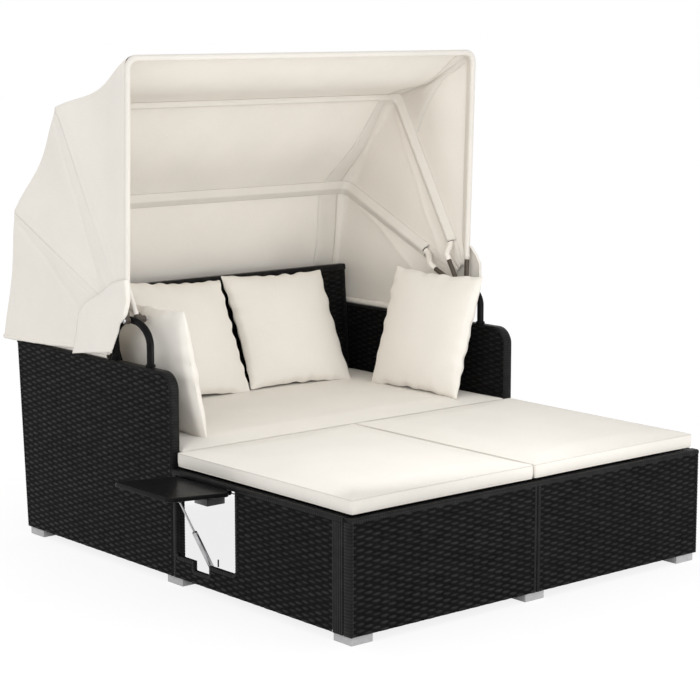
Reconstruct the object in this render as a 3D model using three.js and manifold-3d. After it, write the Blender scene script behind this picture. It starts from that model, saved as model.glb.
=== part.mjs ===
// Outdoor daybed with a folding canopy, in millimetres, +Z up.
// The origin is the underside of the centre foot; +Y runs from the front to the backrest.

import * as THREE from 'three';
import { mergeVertices } from 'three/addons/utils/BufferGeometryUtils.js';
import Module from 'manifold-3d';

const wasm = await Module();
wasm.setup();

// Driving dimensions of the base
const baseWidth = 1380;
const frontDepth = 806;
const rearDepth = 801;
const panelThickness = 34;
const boxTop = 345;
const armTop = 625;
const armCornerRadius = 55;
const backTop = 765;
const backLeanShare = 0.065;
const footSize = 75;
const footHeight = 25;
const footInset = 8;
const fit = 0.3;
const cutOverrun = 2;
const weldDistance = 0.003;

// Sides of round pieces
const pinSides = 12;
const eyeSides = 16;
const archSides = 12;
const hoopSides = 10;

// Driving dimensions of the inner frame and decks
const railWidth = 40;
const railHeight = 38;
const beamWidth = 38;
const deckHeight = 22;
const deckMargin = 30;
const slatWidth = 40;
const slatGap = 50;

// Driving dimensions of the side tables and their struts
const tableOpeningMargin = 21;
const tableOpeningWidth = 279;
const tableOpeningTop = 330;
const tableOpeningSill = 92;
const openingCornerRadius = 8;
const tableThickness = 13;
const tableSideGap = 4;
const tableEdgeGap = 3.5;
const tableCornerRadius = 20;
const tableCornerSteps = 5;
const hingeTopGap = 1.5;
const hingePinDiameter = 4;
const hingePinSeat = 12;
const hingeBarrelRelief = 0.5;
const tableFaceStart = 12;
const tableOpenDegrees = 94;
const tableRiseDegrees = 4;
const notchMargin = 124;
const notchWidth = 70;
const notchDepth = 28;
const strutMargin = 15;
const strutFootInset = 27;
const strutFootHeight = 73;
const strutHeadOut = 92.5;
const strutHeadDrop = 28;
const strutTubeDiameter = 15;
const strutTubeLength = 137;
const strutTubeStart = 10;
const strutTubeFloor = 20;
const strutTubeChamfer = 0.6;
const strutNeckShare = 2 / 3;
const strutRodDiameter = 6;
const strutRodLength = 134;
const strutEyeRadius = 5.5;
const strutEyeThickness = 6;
const strutPinDiameter = 5;
const bracketPlate = 2;
const bracketCheekGap = 0.6;
const headBracketReach = 22;
const headBracketStart = 8;
const catchPinDiameter = 4.4;
const catchPinHeight = 21;
const catchPinMargin = 98;
const catchPinGap = 0.8;

// Driving dimensions of the canopy frame
const archSpan = 182;
const archSetback = 130;
const archRise = 129;
const archLeg = 62;
const archTubeDiameter = 22;
const archCollarDiameter = 30;
const archCollarHeight = 8;
const archInset = 23;
const archPathSteps = 14;
const hoopTubeDiameter = 16;
const hoopCornerRadius = 32;
const hoopCornerSteps = 6;
const hoopEyeRadius = 11;
const eyeSideGap = 0.5;
const pivotBoltDiameter = 8;
const pivotHeadDiameter = 16;
const pivotHeadHeight = 6;
const pivotCrownShare = 0.7;
const boreGap = 0.4;
const hemBarSetback = 336;
const hemBarReach = 99;
const hemBarInset = 17;
const clipSetback = 494;
const clipLength = 22;
const clipWall = 2;
const clipFoot = 8;

// Driving dimensions of the three hoops: the angle above the horizontal behind the pivot, how far
// the reach from the pivot to the crossbar falls short of the rear section's depth, where a leg
// steps outwards from its eye's layer, and how far that leaves it inside the front hoop's plane
const frontHoopDegrees = 91.8;
const frontHoopMargin = 34;
const middleHoopDegrees = 59.6;
const middleHoopMargin = 96.8;
const middleCrankStart = 105;
const middleCrankEnd = 150;
const backHoopDegrees = 24.3;
const backHoopMargin = 116.4;
const backCrankStart = 120;
const backCrankEnd = 215;
const foldingHoopInset = 3.5;

// Driving dimensions of the canopy fabric
const fabricThickness = 2.4;
const fabricClearance = 1;
const fabricEdgeGap = 0.5;
const fabricStart = 62;
const hemSetback = 294;
const hemStandoff = 9;
const hemDrop = 9;
const hemInset = 6.5;
const hemCornerRadius = 24;
const frontSagShare = 0.062;
const middleSagShare = 0.042;
const rearSagShare = 0.036;
const fabricLegSteps = 5;
const fabricCornerSteps = 6;
const fabricBarSteps = 3;
const fabricCrossSteps = 6;

// Driving dimensions of the cushions and pillows
const cushionHeight = 55;
const cushionInset = 15;
const cushionCrown = 6;
const cushionEdgeRadius = 9;
const cushionPull = 5;
const cushionGap = 4;
const cushionRimShare = 0.997;
const cushionSegments = 8;
const cushionRimSegments = 4;
const pillowSize = 395;
const pillowThickness = 125;
const pillowRim = 5;
const pillowPull = 18;
const pillowSwellPower = 0.45;
const pillowSegments = 10;
const armPillowMargin = 121;
const leftArmPillowSetback = 279;
const rightArmPillowSetback = 324;
const leftBackPillowOut = 155;
const rightBackPillowOut = 268;
const backPillowMargin = 129;

// Worked out from the sizes above
const halfWidth = baseWidth / 2;
const innerHalf = halfWidth - panelThickness;
const totalDepth = frontDepth + rearDepth;
const tableOpeningEnd = frontDepth - tableOpeningMargin;
const tableOpeningStart = tableOpeningEnd - tableOpeningWidth;
const notchStart = tableOpeningStart + notchMargin;
const strutPlace = notchStart + strutMargin;
const hubPlace = frontDepth + archSetback + archSpan / 2;
const hubHeight = armTop + archRise;
const archPlane = halfWidth - archInset;

const wicker = new THREE.MeshStandardMaterial({ color: 0x242322, roughness: 0.55, metalness: 0 });
const steel = new THREE.MeshStandardMaterial({ color: 0x1b1b1c, roughness: 0.35, metalness: 0.4 });
const bronze = new THREE.MeshStandardMaterial({ color: 0x3a332c, roughness: 0.4, metalness: 0.5 });
const zinc = new THREE.MeshStandardMaterial({ color: 0xb5b5b5, roughness: 0.35, metalness: 0.8 });
const cloth = new THREE.MeshStandardMaterial({ color: 0xece7dc, roughness: 0.95, metalness: 0 });
const feetGrey = new THREE.MeshStandardMaterial({ color: 0xb9b9b9, roughness: 0.4, metalness: 0.5 });

const daybed = new THREE.Group();
const base = new THREE.Group();
base.position.set(0, -frontDepth, 0);
daybed.add(base);

const radians = (degrees) => THREE.MathUtils.degToRad(degrees);
const vector = (x, y, z) => new THREE.Vector3(x, y, z);
const sideName = (side) => (side < 0 ? 'left' : 'right');

// Put a named mesh into the daybed, each with a material of its own
function place(name, geometry, material, position = vector(0, 0, 0)) {
  const mesh = new THREE.Mesh(geometry, material.clone());
  mesh.name = name;
  mesh.position.copy(position);
  base.add(mesh);
  return mesh;
}

// A closed geometry as a solid for joining and cutting
function solidOf(geometry) {
  const bare = geometry.clone();
  bare.deleteAttribute('normal');
  bare.deleteAttribute('uv');
  const merged = mergeVertices(bare, weldDistance);
  const vertProperties = new Float32Array(merged.attributes.position.array);
  const triVerts = new Uint32Array(merged.index.array);
  return new wasm.Manifold(new wasm.Mesh({ numProp: 3, vertProperties, triVerts }));
}

function geometryOf(solid) {
  const mesh = solid.getMesh();
  const geometry = new THREE.BufferGeometry();
  geometry.setAttribute('position', new THREE.BufferAttribute(mesh.vertProperties, 3));
  geometry.setIndex(new THREE.BufferAttribute(mesh.triVerts, 1));
  geometry.computeVertexNormals();
  return geometry;
}

function joined(...geometries) {
  return geometryOf(geometries.map(solidOf).reduce((whole, piece) => whole.add(piece)));
}

function cut(geometry, ...tools) {
  return geometryOf(tools.map(solidOf).reduce((whole, tool) => whole.subtract(tool), solidOf(geometry)));
}

// A block between two corners
function block(low, high) {
  const size = high.clone().sub(low);
  const geometry = new THREE.BoxGeometry(size.x, size.y, size.z);
  const centre = low.clone().add(high).multiplyScalar(1 / 2);
  return geometry.translate(centre.x, centre.y, centre.z);
}

// An outline drawn in Y and Z, given its thickness along X
function alongX(shape, start, end) {
  const geometry = new THREE.ExtrudeGeometry(shape, { depth: end - start, bevelEnabled: false });
  geometry.applyMatrix4(new THREE.Matrix4().makeBasis(vector(0, 1, 0), vector(0, 0, 1), vector(1, 0, 0)));
  return geometry.translate(start, 0, 0);
}

// An outline drawn in X and Z, given its thickness along Y
function alongY(shape, start, end) {
  const geometry = new THREE.ExtrudeGeometry(shape, { depth: end - start, bevelEnabled: false });
  geometry.applyMatrix4(new THREE.Matrix4().makeBasis(vector(-1, 0, 0), vector(0, 0, 1), vector(0, 1, 0)));
  return geometry.translate(0, start, 0);
}

const outline = (points) => new THREE.Shape(points.map(([u, v]) => new THREE.Vector2(u, v)));

function rod(diameter, length, sides) {
  return new THREE.CylinderGeometry(diameter / 2, diameter / 2, length, sides);
}

// A profile of radius and height pairs turned round the Y axis
function turnedRound(profile) {
  return new THREE.LatheGeometry(profile.map(([r, height]) => new THREE.Vector2(r, height)), eyeSides);
}

const rodX = (diameter, length, sides) => rod(diameter, length, sides).rotateZ(-Math.PI / 2);
const rodZ = (diameter, length, sides) => rod(diameter, length, sides).rotateX(Math.PI / 2);

// A path through chosen stations, so that an extruded tube bends only where stations lie
class StationPath extends THREE.Curve {
  constructor(stations) {
    super();
    this.stations = stations;
  }

  getPoint(share) {
    const last = this.stations.length - 1;
    const before = Math.min(Math.floor(share * last), last - 1);
    return this.stations[before].clone().lerp(this.stations[before + 1], share * last - before);
  }

  getPointAt(share) {
    return this.getPoint(share);
  }

  getSpacedPoints() {
    return this.stations;
  }

  getTangentAt(share) {
    const last = this.stations.length - 1;
    const here = Math.round(share * last);
    const into = this.stations[Math.max(here, 1)].clone().sub(this.stations[Math.max(here, 1) - 1]);
    const next = Math.min(here + 1, last);
    const out = this.stations[next].clone().sub(this.stations[next - 1]);
    return into.normalize().add(out.normalize()).normalize();
  }
}

function tubeAlong(stations, diameter, sides) {
  const section = new THREE.Shape();
  for (let k = 0; k < sides; k += 1) {
    const angle = (2 * Math.PI * k) / sides;
    const u = (diameter / 2) * Math.cos(angle);
    const v = (diameter / 2) * Math.sin(angle);
    if (k === 0) section.moveTo(u, v);
    else section.lineTo(u, v);
  }
  const extrudePath = new StationPath(stations);
  const steps = stations.length - 1;
  return new THREE.ExtrudeGeometry(section, { steps, extrudePath, bevelEnabled: false });
}

// Base panels

const backFront = (height) => totalDepth - panelThickness + backLeanShare * (height - footHeight);
const backRear = (height) => backFront(height) + panelThickness;

// The table's hinge line, measured outwards from the middle of the daybed
const hingeOut = halfWidth - tableThickness / 2;
const hingeHeight = tableOpeningTop - hingeTopGap - tableThickness / 2;

function frontPanels() {
  for (const side of [-1, 1]) {
    const outer = side * halfWidth;
    const inner = (side * fit) / 2;
    const low = vector(Math.min(outer, inner), 0, footHeight);
    const high = vector(Math.max(outer, inner), panelThickness, boxTop);
    place(`front_panel_${sideName(side)}`, block(low, high), wicker);
  }
}

function tableOpening() {
  const start = tableOpeningStart;
  const end = tableOpeningEnd;
  const sill = tableOpeningSill;
  const notchEnd = notchStart + notchWidth;
  const round = openingCornerRadius;
  const hole = new THREE.Path();
  hole.moveTo(start, tableOpeningTop);
  hole.lineTo(start, sill + round);
  hole.lineTo(start + round, sill);
  hole.lineTo(notchStart, sill);
  hole.lineTo(notchStart, sill - notchDepth);
  hole.lineTo(notchEnd, sill - notchDepth);
  hole.lineTo(notchEnd, sill);
  hole.lineTo(end - round, sill);
  hole.lineTo(end, sill + round);
  hole.lineTo(end, tableOpeningTop);
  hole.closePath();
  return hole;
}

function sidePanels() {
  const shape = outline([
    [panelThickness + fit, footHeight],
    [frontDepth - fit / 2, footHeight],
    [frontDepth - fit / 2, boxTop],
    [panelThickness + fit, boxTop],
  ]);
  shape.holes.push(tableOpening());
  const pinLength = tableOpeningWidth + 2 * hingePinSeat;
  const pinMiddle = tableOpeningStart + tableOpeningWidth / 2;
  for (const side of [-1, 1]) {
    const near = side < 0 ? -halfWidth : innerHalf;
    const pinHole = rod(hingePinDiameter + 2 * boreGap, pinLength + 2 * fit, pinSides);
    pinHole.translate(side * hingeOut, pinMiddle, hingeHeight);
    const panel = cut(alongX(shape, near, near + panelThickness), pinHole);
    place(`side_panel_${sideName(side)}`, panel, wicker);
  }
}

function armPanels() {
  const front = frontDepth + fit / 2;
  const shape = new THREE.Shape();
  shape.moveTo(front, footHeight);
  shape.lineTo(backRear(footHeight), footHeight);
  shape.lineTo(backRear(armTop), armTop);
  shape.lineTo(front + armCornerRadius, armTop);
  shape.absarc(front + armCornerRadius, armTop - armCornerRadius, armCornerRadius, Math.PI / 2, Math.PI);
  shape.closePath();
  for (const side of [-1, 1]) {
    const near = side < 0 ? -halfWidth : innerHalf;
    place(`arm_panel_${sideName(side)}`, alongX(shape, near, near + panelThickness), wicker);
  }
}

function backPanel() {
  const shape = outline([
    [backFront(footHeight), footHeight],
    [backRear(footHeight), footHeight],
    [backRear(backTop), backTop],
    [backFront(backTop), backTop],
  ]);
  place('back_panel', alongX(shape, -(innerHalf - fit), innerHalf - fit), wicker);
}

// Inner frame, decks and feet

const deckBottom = boxTop - deckHeight;
const railTop = deckBottom - fit;
const railBottom = railTop - railHeight;

function innerFrame() {
  const railLow = vector(-(innerHalf - fit), frontDepth - railWidth / 2, railBottom);
  const railHigh = vector(innerHalf - fit, frontDepth + railWidth / 2, railTop);
  place('middle_rail', block(railLow, railHigh), steel);

  const legLow = vector(-railWidth / 2, frontDepth - railWidth / 2, footHeight);
  const legHigh = vector(railWidth / 2, frontDepth + railWidth / 2, railBottom - fit);
  place('center_leg', block(legLow, legHigh), steel);

  const beams = {
    front_center_beam: [panelThickness + fit, frontDepth - railWidth / 2 - fit],
    rear_center_beam: [frontDepth + railWidth / 2 + fit, backFront(railBottom) - fit],
  };
  for (const [name, [start, end]] of Object.entries(beams)) {
    const low = vector(-beamWidth / 2, start, railBottom);
    place(name, block(low, vector(beamWidth / 2, end, railTop)), steel);
  }
}

// A deck plate with rows of slots between its slats, in one or two columns
function slattedDeck(low, high, columns) {
  const slotSpan = (high.x - low.x - deckMargin) / columns - deckMargin;
  const run = high.y - low.y - 2 * deckMargin + slatWidth;
  const rows = Math.max(1, Math.floor(run / (slatWidth + slatGap)));
  const pitch = run / rows;
  const slots = [];
  for (let row = 0; row < rows; row += 1) {
    for (let column = 0; column < columns; column += 1) {
      const x = low.x + deckMargin + column * (slotSpan + deckMargin);
      const y = low.y + deckMargin + row * pitch;
      const near = vector(x, y, deckBottom - cutOverrun);
      slots.push(block(near, vector(x + slotSpan, y + pitch - slatWidth, boxTop + cutOverrun)));
    }
  }
  const plate = block(vector(low.x, low.y, deckBottom), vector(high.x, high.y, boxTop));
  return cut(plate, ...slots);
}

function decks() {
  const edge = innerHalf - fit;
  const middle = fit / 2;
  const front = panelThickness + fit;
  const joint = frontDepth;
  const rear = backFront(deckBottom) - fit;
  const left = slattedDeck(vector(-edge, front, 0), vector(-middle, joint - middle, 0), 1);
  const right = slattedDeck(vector(middle, front, 0), vector(edge, joint - middle, 0), 1);
  place('deck_front_left', left, steel);
  place('deck_front_right', right, steel);
  place('deck_rear', slattedDeck(vector(-edge, joint + middle, 0), vector(edge, rear, 0), 2), steel);
}

function feet() {
  const sideways = halfWidth - footInset - footSize / 2;
  const columns = { left: -sideways, middle: 0, right: sideways };
  const rows = {
    front: footInset + footSize / 2,
    center: frontDepth,
    rear: totalDepth - footInset - footSize / 2,
  };
  for (const [rowName, y] of Object.entries(rows)) {
    for (const [columnName, x] of Object.entries(columns)) {
      const foot = new THREE.BoxGeometry(footSize, footSize, footHeight - fit);
      place(`foot_${rowName}_${columnName}`, foot, feetGrey, vector(x, y, (footHeight - fit) / 2));
    }
  }
}

// Fold-up side tables

const turned = (point, degrees) => point.clone().rotateAround(new THREE.Vector2(0, 0), radians(degrees));

// The strut's foot and head in the side view: u outwards from the middle, v up
const strutFoot = new THREE.Vector2(halfWidth - strutFootInset, strutFootHeight);
const hingePoint = new THREE.Vector2(hingeOut, hingeHeight);
const tableLength = hingeHeight - tableOpeningSill - tableEdgeGap;

// The head pivot for a table turned some degrees above the horizontal
function strutHead(degrees) {
  const arm = new THREE.Vector2(strutHeadOut, -tableThickness / 2 - strutHeadDrop);
  return turned(arm, degrees).add(hingePoint);
}

// A table in its own frame: the hinge at zero, the plate running out along +X, top side +Z. A
// slightly thinner strip joins the plate to the barrel of the hinge
function tableGeometry() {
  const half = (tableOpeningWidth - 2 * tableSideGap) / 2;
  const shape = new THREE.Shape();
  shape.moveTo(tableFaceStart, -half);
  shape.lineTo(tableLength - tableCornerRadius, -half);
  for (const [turn, y] of [[-Math.PI / 2, -half + tableCornerRadius], [0, half - tableCornerRadius]]) {
    for (let step = 0; step <= tableCornerSteps; step += 1) {
      const angle = turn + (step * Math.PI) / 2 / tableCornerSteps;
      const out = tableLength - tableCornerRadius + tableCornerRadius * Math.cos(angle);
      shape.lineTo(out, y + tableCornerRadius * Math.sin(angle));
    }
  }
  shape.lineTo(tableFaceStart, half);
  shape.closePath();
  const plate = new THREE.ExtrudeGeometry(shape, { depth: tableThickness, bevelEnabled: false });
  plate.translate(0, 0, -tableThickness / 2);
  const radius = tableThickness / 2 - hingeBarrelRelief;
  const strip = block(vector(0, -half, -radius), vector(tableFaceStart + cutOverrun, half, radius));
  const barrel = rod(2 * radius, 2 * half, eyeSides);
  const bore = rod(hingePinDiameter + 2 * boreGap, 2 * half + cutOverrun, pinSides);
  return cut(joined(plate, strip, barrel), bore);
}

// A U bracket in the table's frame: two cheeks that drop to the head pivot, and their base plate
function headBracketGeometry() {
  const top = -tableThickness / 2 - fit;
  const pivot = -tableThickness / 2 - strutHeadDrop;
  const far = strutHeadOut + headBracketStart + headBracketReach;
  const cheek = outline([
    [-(strutHeadOut - strutEyeRadius), pivot + strutEyeRadius],
    [-(strutHeadOut - strutEyeRadius), pivot - strutEyeRadius / 2],
    [-strutHeadOut, pivot - strutEyeRadius],
    [-(strutHeadOut + strutEyeRadius), pivot - strutEyeRadius / 2],
    [-far, top - bracketPlate],
    [-far, top],
    [-(strutHeadOut + headBracketStart), top],
  ]);
  const inner = strutEyeThickness / 2 + bracketCheekGap;
  const outer = inner + bracketPlate;
  const pieces = [alongY(cheek, -outer, -inner), alongY(cheek, inner, outer)];
  const low = vector(strutHeadOut + headBracketStart, -outer, top - bracketPlate);
  pieces.push(block(low, vector(far, outer, top)));
  return joined(...pieces);
}

// The foot bracket: a base plate, two cheeks and the pin between them, its pivot at zero
function footBracketGeometry() {
  const floor = tableOpeningSill - notchDepth + fit - strutFootHeight;
  const inner = strutEyeThickness / 2 + bracketCheekGap;
  const outer = inner + bracketPlate;
  const reach = strutEyeRadius;
  const cheek = outline([
    [-reach, floor], [reach, floor], [reach, reach / 2],
    [reach / 2, reach], [-reach / 2, reach], [-reach, reach / 2],
  ]);
  const flange = outer + strutEyeRadius;
  return joined(
    block(vector(-reach, -flange, floor), vector(reach, flange, floor + bracketPlate / 2)),
    alongY(cheek, -outer, -inner),
    alongY(cheek, inner, outer),
    rod(strutPinDiameter, 2 * outer, pinSides),
  );
}

// The strut cylinder in its own frame: foot pivot at zero, running up along +Z, open at the top
function strutTubeGeometry() {
  const radius = strutTubeDiameter / 2;
  const bore = strutRodDiameter / 2 + boreGap;
  const edge = strutTubeChamfer;
  const profile = [
    [0, strutTubeStart], [radius - edge, strutTubeStart], [radius, strutTubeStart + edge],
    [radius, strutTubeLength - edge], [radius - edge, strutTubeLength], [bore, strutTubeLength],
    [bore, strutTubeFloor], [0, strutTubeFloor],
  ];
  const body = turnedRound(profile).rotateX(Math.PI / 2);
  const eye = rod(2 * strutEyeRadius, strutEyeThickness, eyeSides);
  const neckHalf = strutEyeRadius * strutNeckShare;
  const neckLow = vector(-neckHalf, -strutEyeThickness / 2, 0);
  const neck = block(neckLow, vector(neckHalf, strutEyeThickness / 2, strutTubeStart + fit));
  const pinHole = rod(strutPinDiameter + 2 * boreGap, strutEyeThickness + cutOverrun, eyeSides);
  return cut(joined(body, neck, eye), pinHole);
}

// The rod in its own frame: head pivot at zero, running down along -Z
function strutRodGeometry() {
  const shaft = rodZ(strutRodDiameter, strutRodLength, pinSides).translate(0, 0, -strutRodLength / 2);
  const eye = rod(2 * strutEyeRadius, strutEyeThickness, eyeSides);
  return cut(joined(shaft, eye), rod(strutPinDiameter, strutEyeThickness + cutOverrun, pinSides));
}

// The left table stands open and the right one hangs closed
const tableDegrees = { left: tableRiseDegrees, right: tableRiseDegrees - tableOpenDegrees };

function sideTables() {
  const middle = tableOpeningStart + tableOpeningWidth / 2;
  for (const side of [-1, 1]) {
    const name = sideName(side);
    const degrees = tableDegrees[name];
    const head = strutHead(degrees);
    const reach = head.clone().sub(strutFoot);
    const strutTurn = Math.atan2(reach.x, reach.y);
    const mirror = side < 0 ? Math.PI : 0;

    // Each piece is drawn for the right side, and turned half round about Z for the left one
    const pieces = new THREE.Group();
    pieces.rotation.z = mirror;
    base.add(pieces);
    const add = (label, geometry, material, x, y, z, turn) => {
      const mesh = new THREE.Mesh(geometry, material.clone());
      mesh.name = `${label}_${name}`;
      mesh.position.set(x, side * y, z);
      mesh.rotation.y = turn;
      pieces.add(mesh);
    };
    add('side_table', tableGeometry(), wicker, hingeOut, middle, hingeHeight, -radians(degrees));
    const headBracket = headBracketGeometry();
    add('strut_head_bracket', headBracket, steel, hingeOut, strutPlace, hingeHeight, -radians(degrees));
    const pin = rod(hingePinDiameter, tableOpeningWidth + 2 * hingePinSeat, pinSides);
    add('hinge_pin', pin, zinc, hingeOut, middle, hingeHeight, 0);
    add('strut_foot_bracket', footBracketGeometry(), steel, strutFoot.x, strutPlace, strutFoot.y, 0);
    add('strut_cylinder', strutTubeGeometry(), zinc, strutFoot.x, strutPlace, strutFoot.y, strutTurn);
    add('strut_rod', strutRodGeometry(), zinc, head.x, strutPlace, head.y, strutTurn);
    const catchPin = rodZ(catchPinDiameter, catchPinHeight, pinSides);
    const catchOut = halfWidth - tableThickness - catchPinGap - catchPinDiameter / 2;
    const catchHeight = tableOpeningSill + fit + catchPinHeight / 2;
    add('catch_pin', catchPin, steel, catchOut, tableOpeningStart + catchPinMargin, catchHeight, 0);
  }
}

// Canopy frame

const boltReach = pivotBoltDiameter / 2 + boreGap;

function arches() {
  const foot = archCollarHeight;
  const crown = archRise - archLeg;
  const stations = [vector(0, -archSpan / 2, fit), vector(0, -archSpan / 2, archLeg)];
  for (let step = 1; step < archPathSteps; step += 1) {
    const angle = Math.PI - (step * Math.PI) / archPathSteps;
    stations.push(vector(0, (archSpan / 2) * Math.cos(angle), archLeg + crown * Math.sin(angle)));
  }
  stations.push(vector(0, archSpan / 2, archLeg), vector(0, archSpan / 2, fit));
  for (const side of [-1, 1]) {
    const collars = [-1, 1].map((end) => (
      rodZ(archCollarDiameter, foot, eyeSides).translate(0, (end * archSpan) / 2, fit + foot / 2)));
    const bore = rodX(2 * boltReach, archTubeDiameter + cutOverrun, eyeSides).translate(0, 0, archRise);
    const arch = cut(joined(tubeAlong(stations, archTubeDiameter, archSides), ...collars), bore);
    place(`canopy_arch_${sideName(side)}`, arch, steel, vector(side * archPlane, hubPlace, armTop));
  }
}

// The middle of an eye layer: layers outside the arch count up from 1, inside it down from -1
function layerPlace(layer) {
  const first = archTubeDiameter / 2 + eyeSideGap + hoopTubeDiameter / 2;
  const further = (Math.abs(layer) - 1) * (hoopTubeDiameter + eyeSideGap);
  return archPlane + Math.sign(layer) * (first + further);
}

const frontHoop = {
  degrees: frontHoopDegrees,
  reach: rearDepth - frontHoopMargin,
  halfWidth: layerPlace(1),
  layer: 1,
};
const middleHoop = {
  degrees: middleHoopDegrees,
  reach: rearDepth - middleHoopMargin,
  halfWidth: layerPlace(1) - foldingHoopInset,
  layer: -1,
  crank: [middleCrankStart, middleCrankEnd],
};
const backHoop = {
  degrees: backHoopDegrees,
  reach: rearDepth - backHoopMargin,
  halfWidth: layerPlace(1) - foldingHoopInset,
  layer: -2,
  crank: [backCrankStart, backCrankEnd],
};

// Half of a hoop in its own plane, from the eye to the middle of the crossbar
function hoopStations(hoop) {
  const eye = layerPlace(hoop.layer);
  const stations = [[eye, hoopEyeRadius / 2]];
  if (hoop.crank) stations.push([eye, hoop.crank[0]], [hoop.halfWidth, hoop.crank[1]]);
  for (let step = 0; step <= hoopCornerSteps; step += 1) {
    const angle = (step * Math.PI) / 2 / hoopCornerSteps;
    const x = hoop.halfWidth - hoopCornerRadius * (1 - Math.cos(angle));
    stations.push([x, hoop.reach - hoopCornerRadius * (1 - Math.sin(angle))]);
  }
  return stations;
}

function hoopGeometry(hoop) {
  const right = hoopStations(hoop).map(([x, r]) => vector(x, 0, r));
  const left = right.map((point) => vector(-point.x, 0, point.z)).reverse();
  const tube = tubeAlong([...right, ...left], hoopTubeDiameter, hoopSides);
  const eyePlace = right[0].x;
  const eyes = [-1, 1].map((side) => (
    rodX(2 * hoopEyeRadius, hoopTubeDiameter, eyeSides).translate(side * eyePlace, 0, 0)));
  const bores = [-1, 1].map((side) => (
    rodX(2 * boltReach, hoopTubeDiameter + 2 * cutOverrun, eyeSides).translate(side * eyePlace, 0, 0)));
  return cut(joined(tube, ...eyes), ...bores);
}

function hoops() {
  for (const [name, hoop] of Object.entries({ front: frontHoop, middle: middleHoop, back: backHoop })) {
    const mesh = place(`${name}_hoop`, hoopGeometry(hoop), bronze, vector(0, hubPlace, hubHeight));
    mesh.rotation.x = radians(hoop.degrees) - Math.PI / 2;
  }
}

function pivotHardware() {
  const headFace = frontHoop.halfWidth + hoopTubeDiameter / 2 + eyeSideGap;
  const nutHeight = pivotHeadHeight;
  const nutFace = layerPlace(backHoop.layer) - hoopTubeDiameter / 2 - eyeSideGap;
  const shaft = headFace - nutFace + nutHeight;
  const radius = pivotHeadDiameter / 2;
  const crown = shaft + pivotHeadHeight;
  const boltProfile = [
    [0, 0], [pivotBoltDiameter / 2, 0], [pivotBoltDiameter / 2, shaft], [radius, shaft],
    [radius, shaft + pivotHeadHeight / 2], [radius * pivotCrownShare, crown], [0, crown],
  ];
  const nutProfile = [
    [boltReach, 0], [radius, 0], [radius, nutHeight], [boltReach, nutHeight], [boltReach, 0],
  ];
  for (const side of [-1, 1]) {
    const start = vector(side * (nutFace - nutHeight), hubPlace, hubHeight);
    const bolt = turnedRound(boltProfile).rotateZ((-side * Math.PI) / 2);
    const nut = turnedRound(nutProfile).rotateZ((-side * Math.PI) / 2);
    place(`pivot_bolt_${sideName(side)}`, bolt, zinc, start);
    place(`pivot_nut_${sideName(side)}`, nut, zinc, start);
  }
}

// The hem bar lies on the arm tops and runs round behind the back panel
const hemBarHeight = armTop + fit + hoopTubeDiameter / 2;
const hemBarPlane = halfWidth - hemBarInset;
const hemBarRear = totalDepth + hemBarReach;

function hemBar() {
  const right = [vector(hemBarPlane, frontDepth + hemBarSetback, hemBarHeight)];
  for (let step = 0; step <= hoopCornerSteps; step += 1) {
    const angle = (step * Math.PI) / 2 / hoopCornerSteps;
    const x = hemBarPlane - hemCornerRadius * (1 - Math.cos(angle));
    right.push(vector(x, hemBarRear - hemCornerRadius * (1 - Math.sin(angle)), hemBarHeight));
  }
  const left = right.map((point) => vector(-point.x, point.y, point.z)).reverse();
  place('hem_bar', tubeAlong([...right, ...left], hoopTubeDiameter, hoopSides), bronze);

  // Each clip reaches over the bar and stands on the arm top on the inner side
  const radius = hoopTubeDiameter / 2 + fit;
  const outer = radius + clipWall;
  const clip = outline([
    [-radius, 0], [-outer, 0], [-outer, outer], [-outer / 2, 2 * outer - clipWall],
    [outer / 2, 2 * outer - clipWall], [outer, outer], [outer, clipWall], [outer + clipFoot, clipWall],
    [outer + clipFoot, 0], [radius, 0], [radius, outer], [radius / 2, 2 * radius + fit],
    [-radius / 2, 2 * radius + fit], [-radius, outer],
  ]);
  for (const side of [-1, 1]) {
    const geometry = alongY(clip, 0, clipLength);
    if (side < 0) geometry.rotateZ(Math.PI).translate(0, clipLength, 0);
    const spot = vector(side * hemBarPlane, frontDepth + clipSetback, armTop + fit);
    place(`hem_bar_clip_${sideName(side)}`, geometry, steel, spot);
  }
}

// Canopy fabric

// Half a hoop's line as pairs of half width and reach, evenly shared over leg, corner and crossbar
function halfLine(halfWidthHere, start, reach, corner) {
  const line = [];
  for (let step = 0; step < fabricLegSteps; step += 1) {
    line.push([halfWidthHere, start + ((reach - corner - start) * step) / fabricLegSteps]);
  }
  for (let step = 0; step <= fabricCornerSteps; step += 1) {
    const angle = (step * Math.PI) / 2 / fabricCornerSteps;
    const x = halfWidthHere - corner * (1 - Math.cos(angle));
    line.push([x, reach - corner * (1 - Math.sin(angle))]);
  }
  for (let step = 1; step <= fabricBarSteps; step += 1) {
    line.push([((halfWidthHere - corner) * (fabricBarSteps - step)) / fabricBarSteps, reach]);
  }
  return line;
}

function hoopLine(hoop) {
  const angle = radians(hoop.degrees);
  const half = halfLine(hoop.halfWidth, fabricStart, hoop.reach, hoopCornerRadius);
  return half.map(([x, r]) => vector(x, hubPlace + r * Math.cos(angle), hubHeight + r * Math.sin(angle)));
}

function hemLine() {
  const rear = hemBarRear + hemStandoff;
  const half = halfLine(halfWidth - hemInset, frontDepth + hemSetback, rear, hemCornerRadius);
  return half.map(([x, y]) => vector(x, y, armTop - hemDrop));
}

function mirroredLine(half) {
  const left = half.slice(0, -1).map((point) => vector(-point.x, point.y, point.z));
  return [...half, ...left.reverse()];
}

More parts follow.
